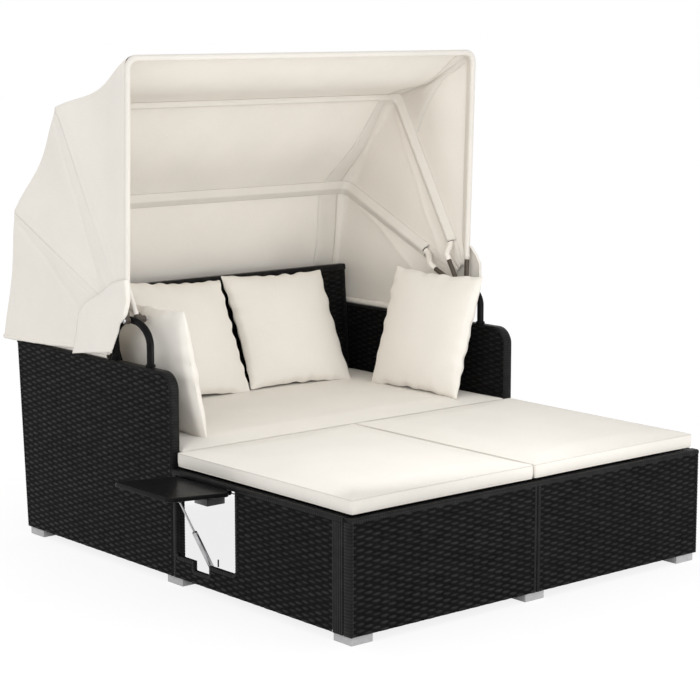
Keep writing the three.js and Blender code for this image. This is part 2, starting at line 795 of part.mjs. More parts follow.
// A closed sheet between two grids of points, the second lying outside the first
function sheetGeometry(inner, outer) {
  const rows = inner.length;
  const columns = inner[0].length;
  const positions = [...inner.flat(), ...outer.flat()].flatMap((point) => [point.x, point.y, point.z]);
  const index = [];
  const at = (layer, row, column) => layer * rows * columns + row * columns + column;
  const quad = (a, b, c, d) => index.push(a, c, b, a, d, c);
  for (let row = 0; row < rows - 1; row += 1) {
    for (let column = 0; column < columns - 1; column += 1) {
      quad(at(1, row, column), at(1, row + 1, column), at(1, row + 1, column + 1), at(1, row, column + 1));
      quad(at(0, row, column), at(0, row, column + 1), at(0, row + 1, column + 1), at(0, row + 1, column));
    }
  }
  for (let row = 0; row < rows - 1; row += 1) {
    const last = columns - 1;
    quad(at(0, row, 0), at(0, row + 1, 0), at(1, row + 1, 0), at(1, row, 0));
    quad(at(0, row + 1, last), at(0, row, last), at(1, row, last), at(1, row + 1, last));
  }
  for (let column = 0; column < columns - 1; column += 1) {
    const last = rows - 1;
    quad(at(0, 0, column + 1), at(0, 0, column), at(1, 0, column), at(1, 0, column + 1));
    quad(at(0, last, column), at(0, last, column + 1), at(1, last, column + 1), at(1, last, column));
  }
  const geometry = new THREE.BufferGeometry();
  geometry.setAttribute('position', new THREE.Float32BufferAttribute(positions, 3));
  geometry.setIndex(index);
  geometry.computeVertexNormals();
  return geometry;
}

// The outward direction of a sheet stretched between two lines, at each of their points
function outwardBetween(first, second) {
  const last = first.length - 1;
  return first.map((point, k) => {
    const before = Math.max(k - 1, 0);
    const after = Math.min(k + 1, last);
    const along = first[after].clone().add(second[after]).sub(first[before]).sub(second[before]);
    return second[k].clone().sub(point).cross(along).normalize();
  });
}

// Fabric stretched from one line to the next and hollowed inwards between them, most where it is
// widest; each line brings the directions in which the fabric stands off it
function fabricPanel(first, second, sagShare) {
  const offset = hoopTubeDiameter / 2 + fabricClearance;
  const widest = Math.max(...first.line.map((point, k) => point.distanceTo(second.line[k])));
  const inner = [];
  const outer = [];
  first.line.forEach((start, k) => {
    const across = second.line[k].clone().sub(start);
    const width = across.length();
    const edge = fabricEdgeGap / width;
    const rows = [[], []];
    for (let step = 0; step <= fabricCrossSteps; step += 1) {
      const share = edge + ((1 - 2 * edge) * step) / fabricCrossSteps;
      const sag = ((sagShare * width * width) / widest) * Math.sin(Math.PI * share) ** 2;
      const point = start.clone().addScaledVector(across, share);
      const outward = first.outward[k].clone().lerp(second.outward[k], share).normalize();
      rows[0].push(point.clone().addScaledVector(outward, offset - sag));
      rows[1].push(point.clone().addScaledVector(outward, offset - sag + fabricThickness));
    }
    inner.push(rows[0]);
    outer.push(rows[1]);
  });
  return sheetGeometry(inner, outer);
}

function canopyFabric() {
  const halves = [hoopLine(frontHoop), hoopLine(middleHoop), hoopLine(backHoop), hemLine()];
  const lines = halves.map(mirroredLine);
  const between = lines.slice(1).map((line, k) => outwardBetween(lines[k], line));
  const edges = lines.map((line, k) => {
    const before = between[Math.max(k - 1, 0)];
    const after = between[Math.min(k, between.length - 1)];
    return { line, outward: line.map((point, i) => before[i].clone().add(after[i]).normalize()) };
  });
  const names = ['canopy_front_panel', 'canopy_middle_panel', 'canopy_rear_panel'];
  const sagShares = [frontSagShare, middleSagShare, rearSagShare];
  names.forEach((name, k) => place(name, fabricPanel(edges[k], edges[k + 1], sagShares[k]), cloth));
}

// Cushions and pillows

// How far a pad's top lies below its crown, at places from -1 to 1 across and along it
const crownFall = (a, b) => cushionCrown * (1 - (1 - a ** 4) * (1 - b ** 4));

// A pad whose top swells, whose rim is rounded and whose sides draw in between the corners, shaped
// from a cube that reaches from -1 to 1
function cushionGeometry(width, depth) {
  const geometry = new THREE.BoxGeometry(2, 2, 2, cushionSegments, cushionSegments, cushionRimSegments);
  const position = geometry.attributes.position;
  for (let k = 0; k < position.count; k += 1) {
    const a = position.getX(k);
    const b = position.getY(k);
    const c = position.getZ(k);
    const rim = cushionEdgeRadius * (1 - Math.sqrt(1 - (cushionRimShare * c) ** 2));
    const x = a * (width / 2 - rim - cushionPull * (1 - b * b));
    const y = b * (depth / 2 - rim - cushionPull * (1 - a * a));
    const fall = c > 0 ? crownFall(a, b) : 0;
    position.setXYZ(k, x, y, c * (cushionHeight / 2 - fall));
  }
  geometry.computeVertexNormals();
  return geometry;
}

const frontCushionEnd = frontDepth - cushionGap;
const rearCushionHalf = innerHalf - cushionGap;
const rearCushionStart = frontCushionEnd + cushionGap / 2;
const rearCushionEnd = backFront(boxTop) - cushionGap;

function seatCushions() {
  const edge = halfWidth - cushionInset;
  const height = boxTop + fit + cushionHeight / 2;
  const middle = cushionGap / 2;
  const pads = {
    seat_cushion_front_left: [-edge, -middle, cushionInset, frontCushionEnd - middle],
    seat_cushion_front_right: [middle, edge, cushionInset, frontCushionEnd - middle],
    seat_cushion_rear: [-rearCushionHalf, rearCushionHalf, rearCushionStart, rearCushionEnd],
  };
  for (const [name, [x0, x1, y0, y1]] of Object.entries(pads)) {
    place(name, cushionGeometry(x1 - x0, y1 - y0), cloth, vector((x0 + x1) / 2, (y0 + y1) / 2, height));
  }
}

// A throw pillow: thin rim, swollen middle, edges drawn in so that the corners stand out, shaped
// from a cube that reaches from -1 to 1
function pillowGeometry() {
  const geometry = new THREE.BoxGeometry(2, 2, 2, pillowSegments, 1, pillowSegments);
  const position = geometry.attributes.position;
  for (let k = 0; k < position.count; k += 1) {
    const a = position.getX(k);
    const b = position.getZ(k);
    const swell = ((1 - a * a) * (1 - b * b)) ** pillowSwellPower;
    const x = a * (pillowSize / 2 - pillowPull * (1 - b * b));
    const z = b * (pillowSize / 2 - pillowPull * (1 - a * a));
    const y = (position.getY(k) * (pillowRim + (pillowThickness - pillowRim) * swell)) / 2;
    position.setXYZ(k, x, y, z);
  }
  geometry.computeVertexNormals();
  return geometry;
}

// Each pillow: the place of its middle sideways and along the seat, then its turn, its lean back
// and its roll in degrees
const backPillowPlace = totalDepth - backPillowMargin;
const armPillowOut = innerHalf - armPillowMargin;
const leftArmPillowPlace = frontDepth + leftArmPillowSetback;
const rightArmPillowPlace = frontDepth + rightArmPillowSetback;
const pillowPlaces = {
  pillow_left_arm: { x: -armPillowOut, y: leftArmPillowPlace, turn: 86, lean: -18, roll: 0 },
  pillow_back_left: { x: -leftBackPillowOut, y: backPillowPlace, turn: 4, lean: -28, roll: 2 },
  pillow_back_right: { x: rightBackPillowOut, y: backPillowPlace, turn: -4, lean: -28.5, roll: 1.3 },
  pillow_right_arm: { x: armPillowOut, y: rightArmPillowPlace, turn: -88, lean: -18, roll: 0 },
};

// The height at which every point of a turned pillow clears the rear cushion's swollen top
function seatedHeight(geometry, rotation, x, y) {
  const position = geometry.attributes.position;
  const point = vector(0, 0, 0);
  const middle = (rearCushionStart + rearCushionEnd) / 2;
  const half = (rearCushionEnd - rearCushionStart) / 2;
  let height = 0;
  for (let k = 0; k < position.count; k += 1) {
    point.fromBufferAttribute(position, k).applyEuler(rotation);
    const a = (x + point.x) / rearCushionHalf;
    const b = (y + point.y - middle) / half;
    height = Math.max(height, fit - crownFall(a, b) - point.z);
  }
  return boxTop + fit + cushionHeight + height;
}

function pillows() {
  for (const [name, { x, y, turn, lean, roll }] of Object.entries(pillowPlaces)) {
    const geometry = pillowGeometry();
    const rotation = new THREE.Euler(radians(lean), radians(roll), radians(turn), 'ZXY');
    const height = seatedHeight(geometry, rotation, x, y);
    place(name, geometry, cloth, vector(x, y, height)).rotation.copy(rotation);
  }
}

frontPanels();
sidePanels();
armPanels();
backPanel();
innerFrame();
decks();
feet();
sideTables();
arches();
hoops();
pivotHardware();
hemBar();
canopyFabric();
seatCushions();
pillows();

export default daybed;
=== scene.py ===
"""Outdoor daybed with a folding canopy, built round its fixed frame. Metres, +Z up, +Y to the back."""

import math

import bpy
import numpy as np
from bpy.props import FloatProperty, FloatVectorProperty, IntProperty, PointerProperty
from mathutils import Euler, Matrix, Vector
from mathutils.geometry import tessellate_polygon


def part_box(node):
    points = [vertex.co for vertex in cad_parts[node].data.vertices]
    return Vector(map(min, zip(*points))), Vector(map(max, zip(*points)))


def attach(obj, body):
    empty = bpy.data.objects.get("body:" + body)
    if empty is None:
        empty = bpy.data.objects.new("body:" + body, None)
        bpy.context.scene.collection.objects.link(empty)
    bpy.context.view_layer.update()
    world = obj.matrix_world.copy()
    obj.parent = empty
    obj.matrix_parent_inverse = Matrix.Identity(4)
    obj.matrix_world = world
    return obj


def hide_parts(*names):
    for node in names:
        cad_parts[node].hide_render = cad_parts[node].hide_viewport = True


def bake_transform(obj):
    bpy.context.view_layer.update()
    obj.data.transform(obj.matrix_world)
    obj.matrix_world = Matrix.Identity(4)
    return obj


bl_info = {
    "name": "Outdoor daybed with canopy",
    "version": (1, 0, 0),
    "blender": (4, 5, 0),
    "location": "View3D > Sidebar > Daybed",
    "description": "Dresses the daybed's frame in wicker, cushions, canopy cloth and metal",
    "category": "Add Mesh",
}

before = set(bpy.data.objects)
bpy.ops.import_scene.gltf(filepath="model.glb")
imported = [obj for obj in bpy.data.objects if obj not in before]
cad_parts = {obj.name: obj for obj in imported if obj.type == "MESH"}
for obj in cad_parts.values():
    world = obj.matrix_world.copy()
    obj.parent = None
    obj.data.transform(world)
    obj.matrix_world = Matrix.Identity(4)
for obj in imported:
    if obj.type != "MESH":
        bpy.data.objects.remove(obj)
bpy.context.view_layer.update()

SIDES = {"left": -1, "right": 1}
MM = 0.001
WELD = 0.02 * MM


# Sizes and colours that a user would change


class DaybedSizes(bpy.types.PropertyGroup):
    """Sizes of the visible surfaces, in metres"""

    stake_pitch: FloatProperty(
        name="Stake pitch", description="Distance between the upright stakes of the weave",
        default=0.0282, unit="LENGTH")
    strand_pitch: FloatProperty(
        name="Strand pitch", description="Height of one row of the weave",
        default=0.0091, unit="LENGTH")
    strand_rise: FloatProperty(
        name="Strand rise", description="How far a strand swings out and in as it passes the stakes",
        default=0.0009, unit="LENGTH")
    wrap_pitch: FloatProperty(
        name="Wrap pitch", description="Width of one turn of the strand wound round an edge",
        default=0.0085, unit="LENGTH")
    wrap_width: FloatProperty(
        name="Wrap width", description="Width of the wound border along a panel's edge",
        default=0.021, unit="LENGTH")
    cloth_thickness: FloatProperty(
        name="Canopy cloth thickness", description="Thickness of the canopy's cloth",
        default=0.0012, unit="LENGTH")
    piping: FloatProperty(
        name="Seam width", description="Width of the sewn seam round a cushion",
        default=0.0032, unit="LENGTH")
    tube_sides: IntProperty(
        name="Tube sides", description="Number of faces round a steel tube",
        default=28)


class DaybedColours(bpy.types.PropertyGroup):
    """Colours of the finishes"""

    wicker: FloatVectorProperty(
        name="Wicker", description="Colour of the plastic strands", subtype="COLOR",
        default=(0.0120, 0.0117, 0.0119))
    cloth: FloatVectorProperty(
        name="Cushion cloth", description="Colour of the cushion covers", subtype="COLOR",
        default=(0.85, 0.815, 0.755))
    canopy: FloatVectorProperty(
        name="Canopy cloth", description="Colour of the canopy", subtype="COLOR",
        default=(0.855, 0.815, 0.755))
    steel: FloatVectorProperty(
        name="Black steel", description="Colour of the powder-coated steel", subtype="COLOR",
        default=(0.0055, 0.0054, 0.0055))
    bronze: FloatVectorProperty(
        name="Bronze tube", description="Colour of the canopy's hoops", subtype="COLOR",
        default=(0.055, 0.043, 0.033))
    zinc: FloatVectorProperty(
        name="Zinc", description="Colour of the struts, bolts and nuts", subtype="COLOR",
        default=(0.48, 0.48, 0.49))
    feet: FloatVectorProperty(
        name="Feet", description="Colour of the grey feet", subtype="COLOR",
        default=(0.50, 0.50, 0.51))


def sizes():
    """The sizes as set in the scene."""
    return bpy.context.scene.daybed_sizes


def colours():
    """The colours as set in the scene."""
    return bpy.context.scene.daybed_colours


# Meshes from grids of points


def linked(name, data):
    """A new object in the scene."""
    made = bpy.data.objects.new(name, data)
    bpy.context.scene.collection.objects.link(made)
    return made


def same_places(points, width):
    """Which points stand for all that round to the same multiples of a width, and for each point
    the number of the one that stands for it."""
    keys = np.round(points / width).astype(np.int64)
    _, first, inverse = np.unique(keys, axis=0, return_index=True, return_inverse=True)
    return first, inverse.reshape(-1)


def grid_faces(rows, columns, round_rows=False, round_columns=False):
    """Quads over a grid numbered row by row, and each corner's (row, column) before it wraps."""
    last_row = rows if round_rows else rows - 1
    last_column = columns if round_columns else columns - 1
    i, j = np.meshgrid(np.arange(last_row), np.arange(last_column), indexing="ij")
    corners = [(i, j), (i + 1, j), (i + 1, j + 1), (i, j + 1)]
    steps = np.stack([np.stack(corner, -1) for corner in corners], -2).reshape(-1, 4, 2)
    quads = (steps[..., 0] % rows) * columns + steps[..., 1] % columns
    return quads, steps


class Shell:
    """Gathers grids of points and loose faces into one mesh, with a flat coordinate in metres at
    each face corner for the patterns of strands and threads."""

    def __init__(self):
        self.points, self.faces, self.flats, self.marks, self.tones = [], [], [], [], []
        self.count = 0
        self.mark = 0

    def add(self, points, faces, flats, tone=1.0):
        """Points N by 3, faces as rows of indices, flats as one (u, v) for each face corner, and a
        tone from 0 in a gap to 1 on a crest, the same for all or one for each point; the strand finish
        paints shade into the gaps by this tone."""
        self.tones.append(np.broadcast_to(np.asarray(tone, float).ravel(), len(points)))
        self.points.append(points)
        self.faces.extend((faces + self.count).tolist())
        self.flats.append(np.asarray(flats, float).reshape(-1, 2))
        self.marks.append(np.full(len(faces), self.mark))
        self.count += len(points)

    def grid(self, points, round_rows=False, round_columns=False, keep=None, flip=False, turn=False,
             tone=1.0):
        """A grid of rows by columns by 3. The flat coordinate is the mean length run along the
        columns and down the rows; turn swaps the two."""
        rows, columns = points.shape[:2]
        quads, steps = grid_faces(rows, columns, round_rows, round_columns)
        down = np.linalg.norm(np.diff(points, axis=0, append=points[:1]), axis=2).mean(1)
        along = np.linalg.norm(np.diff(points, axis=1, append=points[:, :1]), axis=2).mean(0)
        rows_run = np.concatenate([[0], np.cumsum(down)])
        columns_run = np.concatenate([[0], np.cumsum(along)])
        flats = np.stack([columns_run[steps[..., 1]], rows_run[steps[..., 0]]], -1)
        if turn:
            flats = flats[..., ::-1]
        if keep is not None:
            quads, flats = quads[keep], flats[keep]
        if flip:
            quads, flats = quads[:, ::-1], flats[:, ::-1]
        self.add(points.reshape(-1, 3), quads, flats, tone)

    def ring_cap(self, ring, flip=False):
        """A flat face over a ring of points."""
        order = np.arange(len(ring))
        if flip:
            order = order[::-1]
        self.points.append(ring)
        self.faces.append((order + self.count).tolist())
        self.flats.append(ring[order, :2])
        self.marks.append(np.array([self.mark]))
        self.tones.append(np.ones(len(ring)))
        self.count += len(ring)

    def caps(self, rings):
        """Flat faces over the first and the last ring of a tube."""
        self.ring_cap(rings[0], flip=True)
        self.ring_cap(rings[-1])

    def build(self, name, material, sharp=None):
        """The mesh object: points that round to the same place become one, unused ones are dropped,
        and edges over the sharp angle, in degrees, are kept crisp."""
        points = np.concatenate(self.points)
        flats = np.concatenate(self.flats)
        tones = np.concatenate(self.tones)
        lengths = np.array([len(face) for face in self.faces])
        corners = np.concatenate([np.asarray(face) for face in self.faces])
        first, inverse = same_places(points, WELD)
        points, tones, corners = points[first], tones[first], inverse[corners]
        used, corners = np.unique(corners, return_inverse=True)
        points, tones = points[used], tones[used]
        starts = np.concatenate([[0], np.cumsum(lengths)[:-1]])
        mesh = bpy.data.meshes.new(name)
        mesh.vertices.add(len(points))
        mesh.vertices.foreach_set("co", points.astype(np.float32).ravel())
        mesh.loops.add(len(corners))
        mesh.loops.foreach_set("vertex_index", corners.astype(np.int32))
        mesh.polygons.add(len(lengths))
        mesh.polygons.foreach_set("loop_start", starts.astype(np.int32))
        layer = mesh.uv_layers.new(name="flat")
        layer.data.foreach_set("uv", flats.astype(np.float32).ravel())
        mesh.polygons.foreach_set("use_smooth", np.full(len(lengths), True))
        # the tone attribute, by which the strand finish paints shade into gaps and grooves
        if tones.min() < 1:
            tone = mesh.attributes.new("tone", "FLOAT", "POINT")
            tone.data.foreach_set("value", tones.astype(np.float32))
        for item in material if isinstance(material, tuple) else (material,):
            mesh.materials.append(item)
        mesh.polygons.foreach_set("material_index", np.concatenate(self.marks).astype(np.int32))
        mesh.update(calc_edges=True)
        mesh.validate()
        if sharp is not None:
            mesh.set_sharp_from_angle(angle=math.radians(sharp))
        return linked(name, mesh)


def directions(path, closed=False):
    """The unit tangent at each point of a path: the mean of the two neighbouring steps."""
    if closed:
        ahead = np.roll(path, -1, 0) - path
        back = path - np.roll(path, 1, 0)
    else:
        steps = np.diff(path, axis=0)
        ahead = np.concatenate([steps, steps[-1:]])
        back = np.concatenate([steps[:1], steps])
    return unit(unit(ahead) + unit(back))


def run_along(path):
    """The length run from a path's first point to each of its points."""
    return np.concatenate([[0], np.cumsum(np.linalg.norm(np.diff(path, axis=0), axis=1))])


def resampled(path, step):
    """The same line with points about one step apart, straight between its old points."""
    lengths = run_along(path)
    count = max(2, int(round(lengths[-1] / step)) + 1)
    where = np.linspace(0, lengths[-1], count)
    return np.stack([np.interp(where, lengths, path[:, k]) for k in range(path.shape[1])], 1)


def swept(path, normal, section, closed=False):
    """A section of (out, across) pairs carried along a flat path: each point is the path's point
    plus out times the in-plane side direction plus across times the plane's normal. The section may
    be one ring for all points of the path, or one for each."""
    normal = np.asarray(normal, float)
    tangent = directions(path, closed)
    side = unit(np.cross(tangent, normal))
    section = np.broadcast_to(section, (len(path), *section.shape[-2:]))
    return path[:, None] + section[..., :1] * side[:, None] + section[..., 1:] * normal


def unit(vectors):
    """Vectors of length one."""
    return vectors / np.linalg.norm(vectors, axis=-1, keepdims=True)


def at_x(points, x):
    """Points (y, z) put at a distance x to the right of the middle."""
    return np.column_stack([np.full(len(points), x), points])


def rectangle(low, high, u, v):
    """The corners of a box's outline across two of its axes."""
    return [[low[u], low[v]], [high[u], low[v]], [high[u], high[v]], [low[u], high[v]]]


def circle(radius, sides):
    """Points (r cos t, r sin t) round a full turn."""
    t = np.arange(sides) * 2 * np.pi / sides
    return np.stack([radius * np.cos(t), radius * np.sin(t)], 1)


def tube(shell, path, normal, radius):
    """A round tube along a flat path, its ends closed."""
    points = swept(path, normal, circle(radius, sizes().tube_sides))
    shell.grid(points, round_columns=True)
    shell.caps(points)


def lathe(profile, centre, axis, sides):
    """A profile of (radius, height) pairs turned round an axis through a centre."""
    axis = np.asarray(axis, float) / np.linalg.norm(axis)
    helper = np.array([0.0, 0.0, 1.0]) if abs(axis[2]) < 0.9 else np.array([1.0, 0.0, 0.0])
    first = np.cross(helper, axis)
    first /= np.linalg.norm(first)
    second = np.cross(axis, first)
    t = np.arange(sides) * 2 * np.pi / sides
    round_ = np.cos(t)[:, None] * first + np.sin(t)[:, None] * second
    profile = np.asarray(profile, float)
    return np.asarray(centre) + profile[:, :1, None] * round_ + profile[:, 1:, None] * axis


def turned(shell, profile, centre, axis, sides, ring=False):
    """Puts a turned shape into a shell; a ring's profile closes on itself."""
    shell.grid(lathe(profile, centre, axis, sides), round_rows=ring, round_columns=True)


def rounded_box(half, radius):
    """The closed surface of a box with rounded edges: points of a cube grid, each pushed to the
    inner box plus radius times the direction from it. Returns points and quads."""
    inner = half - radius
    bend = radius * np.tan(np.radians([15, 30, 45]))
    points, quads = cube_surface(
        [np.concatenate([-(size + bend)[::-1], [-size, size], size + bend]) for size in inner])
    core = np.clip(points, -inner, inner)
    return core + unit(points - core) * radius, quads


def cube_surface(lines):
    """The closed grid over a box whose three axes are cut at the given places: points and quads,
    with the points on shared edges welded."""
    points, quads, count = [], [], 0
    for axis in range(3):
        u, v = (axis + 1) % 3, (axis + 2) % 3
        for end in (0, -1):
            a, b = np.meshgrid(lines[u], lines[v], indexing="ij")
            face = np.zeros((*a.shape, 3))
            face[..., u], face[..., v], face[..., axis] = a, b, lines[axis][end]
            ids, _ = grid_faces(*a.shape)
            if end == 0:
                ids = ids[:, ::-1]
            points.append(face.reshape(-1, 3))
            quads.append(ids + count)
            count += a.size
    points, quads = np.concatenate(points), np.concatenate(quads)
    first, inverse = same_places(points, 0.001 * MM)
    return points[first], inverse[quads]


def prism(shell, loops, low, high, place):
    """A plate with holes: the first loop of 2-D points is its outline and the others are holes.
    place(points, depth) puts 2-D points at a depth into the model."""
    flat = np.concatenate(loops)
    triangles = np.array(tessellate_polygon([[Vector((*p, 0)) for p in loop] for loop in loops]))
    for depth, order in ((low, slice(None, None, -1)), (high, slice(None))):
        faces = triangles[:, order]
        shell.add(place(flat, depth), faces, flat[faces])
    for loop in loops:
        wall = np.stack([place(loop, low), place(loop, high)])
        shell.grid(wall, round_columns=True)


def arc(centre, radius, start, end, steps):
    """Points of a circle's arc in a plane, its angles in degrees."""
    t = np.radians(np.linspace(start, end, steps + 1))
    return np.stack([centre[0] + radius * np.cos(t), centre[1] + radius * np.sin(t)], 1)


# Materials


MIX_FIRST, MIX_SECOND, MIX_COLOUR = 6, 7, 2  # a mix node's colour sockets by number


class Finish:
    """A material with short calls for its nodes."""

    def __init__(self, name):
        self.material = bpy.data.materials.new(name)
        self.material.use_nodes = True
        self.tree = self.material.node_tree
        self.shader = self.tree.nodes["Principled BSDF"]

    def node(self, kind, **settings):
        """A new node; a setting is the value of its input of that name, or else its property."""
        made = self.tree.nodes.new(kind)
        for key, value in settings.items():
            if key in made.inputs:
                made.inputs[key].default_value = value
            else:
                setattr(made, key, value)
        return made

    def link(self, start, output, end, socket):
        self.tree.links.new(start.outputs[output], end.inputs[socket])

    def set(self, **values):
        """Sets the shader's sockets, with an underscore for each space in their names."""
        for key, value in values.items():
            self.shader.inputs[key.replace("_", " ")].default_value = value

    def coordinates(self, output="Object", scale=(1, 1, 1)):
        """The piece's own coordinates in metres, or its flat ones, stretched by a scale."""
        source = self.node("ShaderNodeTexCoord")
        mapping = self.node("ShaderNodeMapping", Scale=scale)
        self.link(source, output, mapping, "Vector")
        return mapping

    def noise(self, where, scale, detail=2.0, roughness=0.5):
        made = self.node("ShaderNodeTexNoise", Scale=scale, Detail=detail, Roughness=roughness)
        self.link(where, 0, made, "Vector")
        return made

    def ramp(self, source, output, stops):
        """A colour ramp over the source, with a colour at each stop."""
        made = self.node("ShaderNodeValToRGB")
        elements = made.color_ramp.elements
        for k, (place, colour) in enumerate(stops):
            element = elements[k] if k < 2 else elements.new(place)
            element.position = place
            element.color = (*colour, 1)
        self.link(source, output, made, "Fac")
        return made

    def bump(self, source, output, strength, distance, after=None):
        """Fine relief on the surface, on top of an earlier one where that is given."""
        made = self.node("ShaderNodeBump", Strength=strength, Distance=distance)
        self.link(source, output, made, "Height")
        if after is not None:
            self.link(after, "Normal", made, "Normal")
        self.link(made, "Normal", self.shader, "Normal")
        return made

    def range(self, source, output, low, high, socket):
        """Sets a socket of the shader from low to high as the source goes from 0 to 1."""
        made = self.node("ShaderNodeMapRange")
        made.inputs["To Min"].default_value = low
        made.inputs["To Max"].default_value = high
        self.link(source, output, made, "Value")
        self.link(made, "Result", self.shader, socket)
        return made

    def tint(self, source, stops):
        """Colours the surface by a ramp over the source."""
        self.link(self.ramp(source, "Fac", stops), "Color", self.shader, "Base Color")

    def tint_twice(self, first, second):
        """Colours the surface by the product of two ramps."""
        made = self.node("ShaderNodeMix", data_type="RGBA", blend_type="MULTIPLY")
        made.inputs[0].default_value = 1.0
        self.link(first, "Color", made, MIX_FIRST)
        self.link(second, "Color", made, MIX_SECOND)
        self.link(made, MIX_COLOUR, self.shader, "Base Color")


def shade(colour, amount):
    """A colour made darker or lighter, no channel over 1."""
    return tuple(min(1.0, channel * amount) for channel in colour)


def grey(level):
    """A grey as a colour."""
    return level, level, level


def strand_finish(name, colour):
    """Extruded plastic strand: fine lengthwise grain, slight changes of tone from strand to strand and
    a dull polish on the crests. The gaps take painted shade, darker and less glossy, told apart by the
    tone attribute of the surface."""
    finish = Finish(name)
    finish.set(IOR=1.46)
    drawn = finish.coordinates("UV", scale=(26, 900, 1))
    grain = finish.noise(drawn, scale=1.0, detail=3.0, roughness=0.6)
    spread = finish.noise(finish.coordinates("Object"), scale=38)
    crest = finish.node("ShaderNodeAttribute", attribute_name="tone")
    tone = finish.ramp(spread, "Fac", [(0.3, shade(colour, 0.75)), (0.7, shade(colour, 1.35))])
    # painted shade: the colour is darkened towards 0.62 where the tone attribute marks a gap between strands
    depth = finish.ramp(crest, "Fac", [(0.15, grey(0.62)), (0.9, grey(1.0))])
    finish.tint_twice(tone, depth)
    # painted shade in the reflections too: the gaps reflect less than the crests
    gloss = finish.range(crest, "Fac", 0.02, 0.15, "Specular IOR Level")
    gloss.inputs["From Min"].default_value = 0.35
    rough = 0.34
    finish.range(grain, "Fac", rough - 0.06, rough + 0.10, "Roughness")
    finish.bump(grain, "Fac", strength=0.35, distance=0.0005)
    return finish.material


def cloth_finish(name, colour, thread, strength=0.30, sheen=0.12, creases=0.0015):
    """Woven cloth: two crossed sets of threads as sine waves of one thread's width along the piece's
    own flat coordinate, slubs in the thread, soft creases and a faint fibre sheen."""
    finish = Finish(name)
    finish.set(Roughness=0.92, Sheen_Weight=sheen, Sheen_Roughness=0.5, Specular_IOR_Level=0.25)
    flat = finish.coordinates("UV")
    weave = finish.node("ShaderNodeMath", operation="MULTIPLY")
    for k, direction in enumerate(("X", "Y")):
        wave = finish.node("ShaderNodeTexWave", wave_type="BANDS", bands_direction=direction,
                           Scale=1 / (thread * math.pi), Distortion=0.6, Detail=1.0)
        finish.link(flat, 0, wave, "Vector")
        finish.link(wave, "Fac", weave, k)
    place = finish.coordinates("Object")
    slub = finish.noise(place, scale=260, detail=3.0, roughness=0.6)
    soil = finish.noise(place, scale=4.5, detail=3.0, roughness=0.55)
    crease = finish.noise(place, scale=11, roughness=0.45)
    broad = finish.ramp(soil, "Fac", [(0.3, shade(colour, 0.975)), (0.7, shade(colour, 1.02))])
    fine = finish.ramp(slub, "Fac", [(0.25, (0.955, 0.953, 0.948)), (0.75, grey(1.0))])
    finish.tint_twice(broad, fine)
    soft = finish.bump(crease, "Fac", strength=0.35, distance=creases)
    finish.bump(weave, 0, strength, distance=thread * 0.35, after=soft)
    return finish.material


def coated_steel(name, colour, rough, coat=0.0, shine=0.3):
    """Powder-coated steel: a fine orange-peel surface and rubbed, slightly greyer spots."""
    finish = Finish(name)
    finish.set(Coat_Weight=coat, Coat_Roughness=0.18, IOR=1.5, Specular_IOR_Level=shine)
    place = finish.coordinates("Object")
    peel = finish.noise(place, scale=900)
    wear = finish.noise(place, scale=24, detail=4.0, roughness=0.65)
    finish.tint(wear, [(0.35, colour), (0.8, shade(colour, 1.7))])
    finish.range(wear, "Fac", rough - 0.06, rough + 0.1, "Roughness")
    finish.bump(peel, "Fac", strength=0.12, distance=0.0004)
    return finish.material


def bare_metal(name, colour, rough):
    """Plated metal with a fine grain drawn along its length and faint stains."""
    finish = Finish(name)
    finish.set(Metallic=1.0)
    drawn = finish.coordinates("Object", scale=(40, 40, 900))
    grain = finish.noise(drawn, scale=1.0, detail=3.0, roughness=0.6)
    stain = finish.noise(finish.coordinates("Object"), scale=30, detail=3.0)
    finish.tint(stain, [(0.3, shade(colour, 0.82)), (0.7, shade(colour, 1.12))])
    finish.range(grain, "Fac", rough - 0.07, rough + 0.12, "Roughness")
    finish.bump(grain, "Fac", strength=0.15, distance=0.0003)
    return finish.material


def grey_plastic(name, colour):
    """Moulded grey plastic: a satin skin with a fine stipple."""
    finish = Finish(name)
    place = finish.coordinates("Object")
    stipple = finish.noise(place, scale=1400, detail=1.0)
    scuff = finish.noise(place, scale=60, detail=4.0, roughness=0.7)
    finish.tint(scuff, [(0.3, shade(colour, 0.9)), (0.75, shade(colour, 1.06))])
    finish.range(scuff, "Fac", 0.42, 0.6, "Roughness")
    finish.bump(stipple, "Fac", strength=0.1, distance=0.0004)
    return finish.material


made_finishes = {}


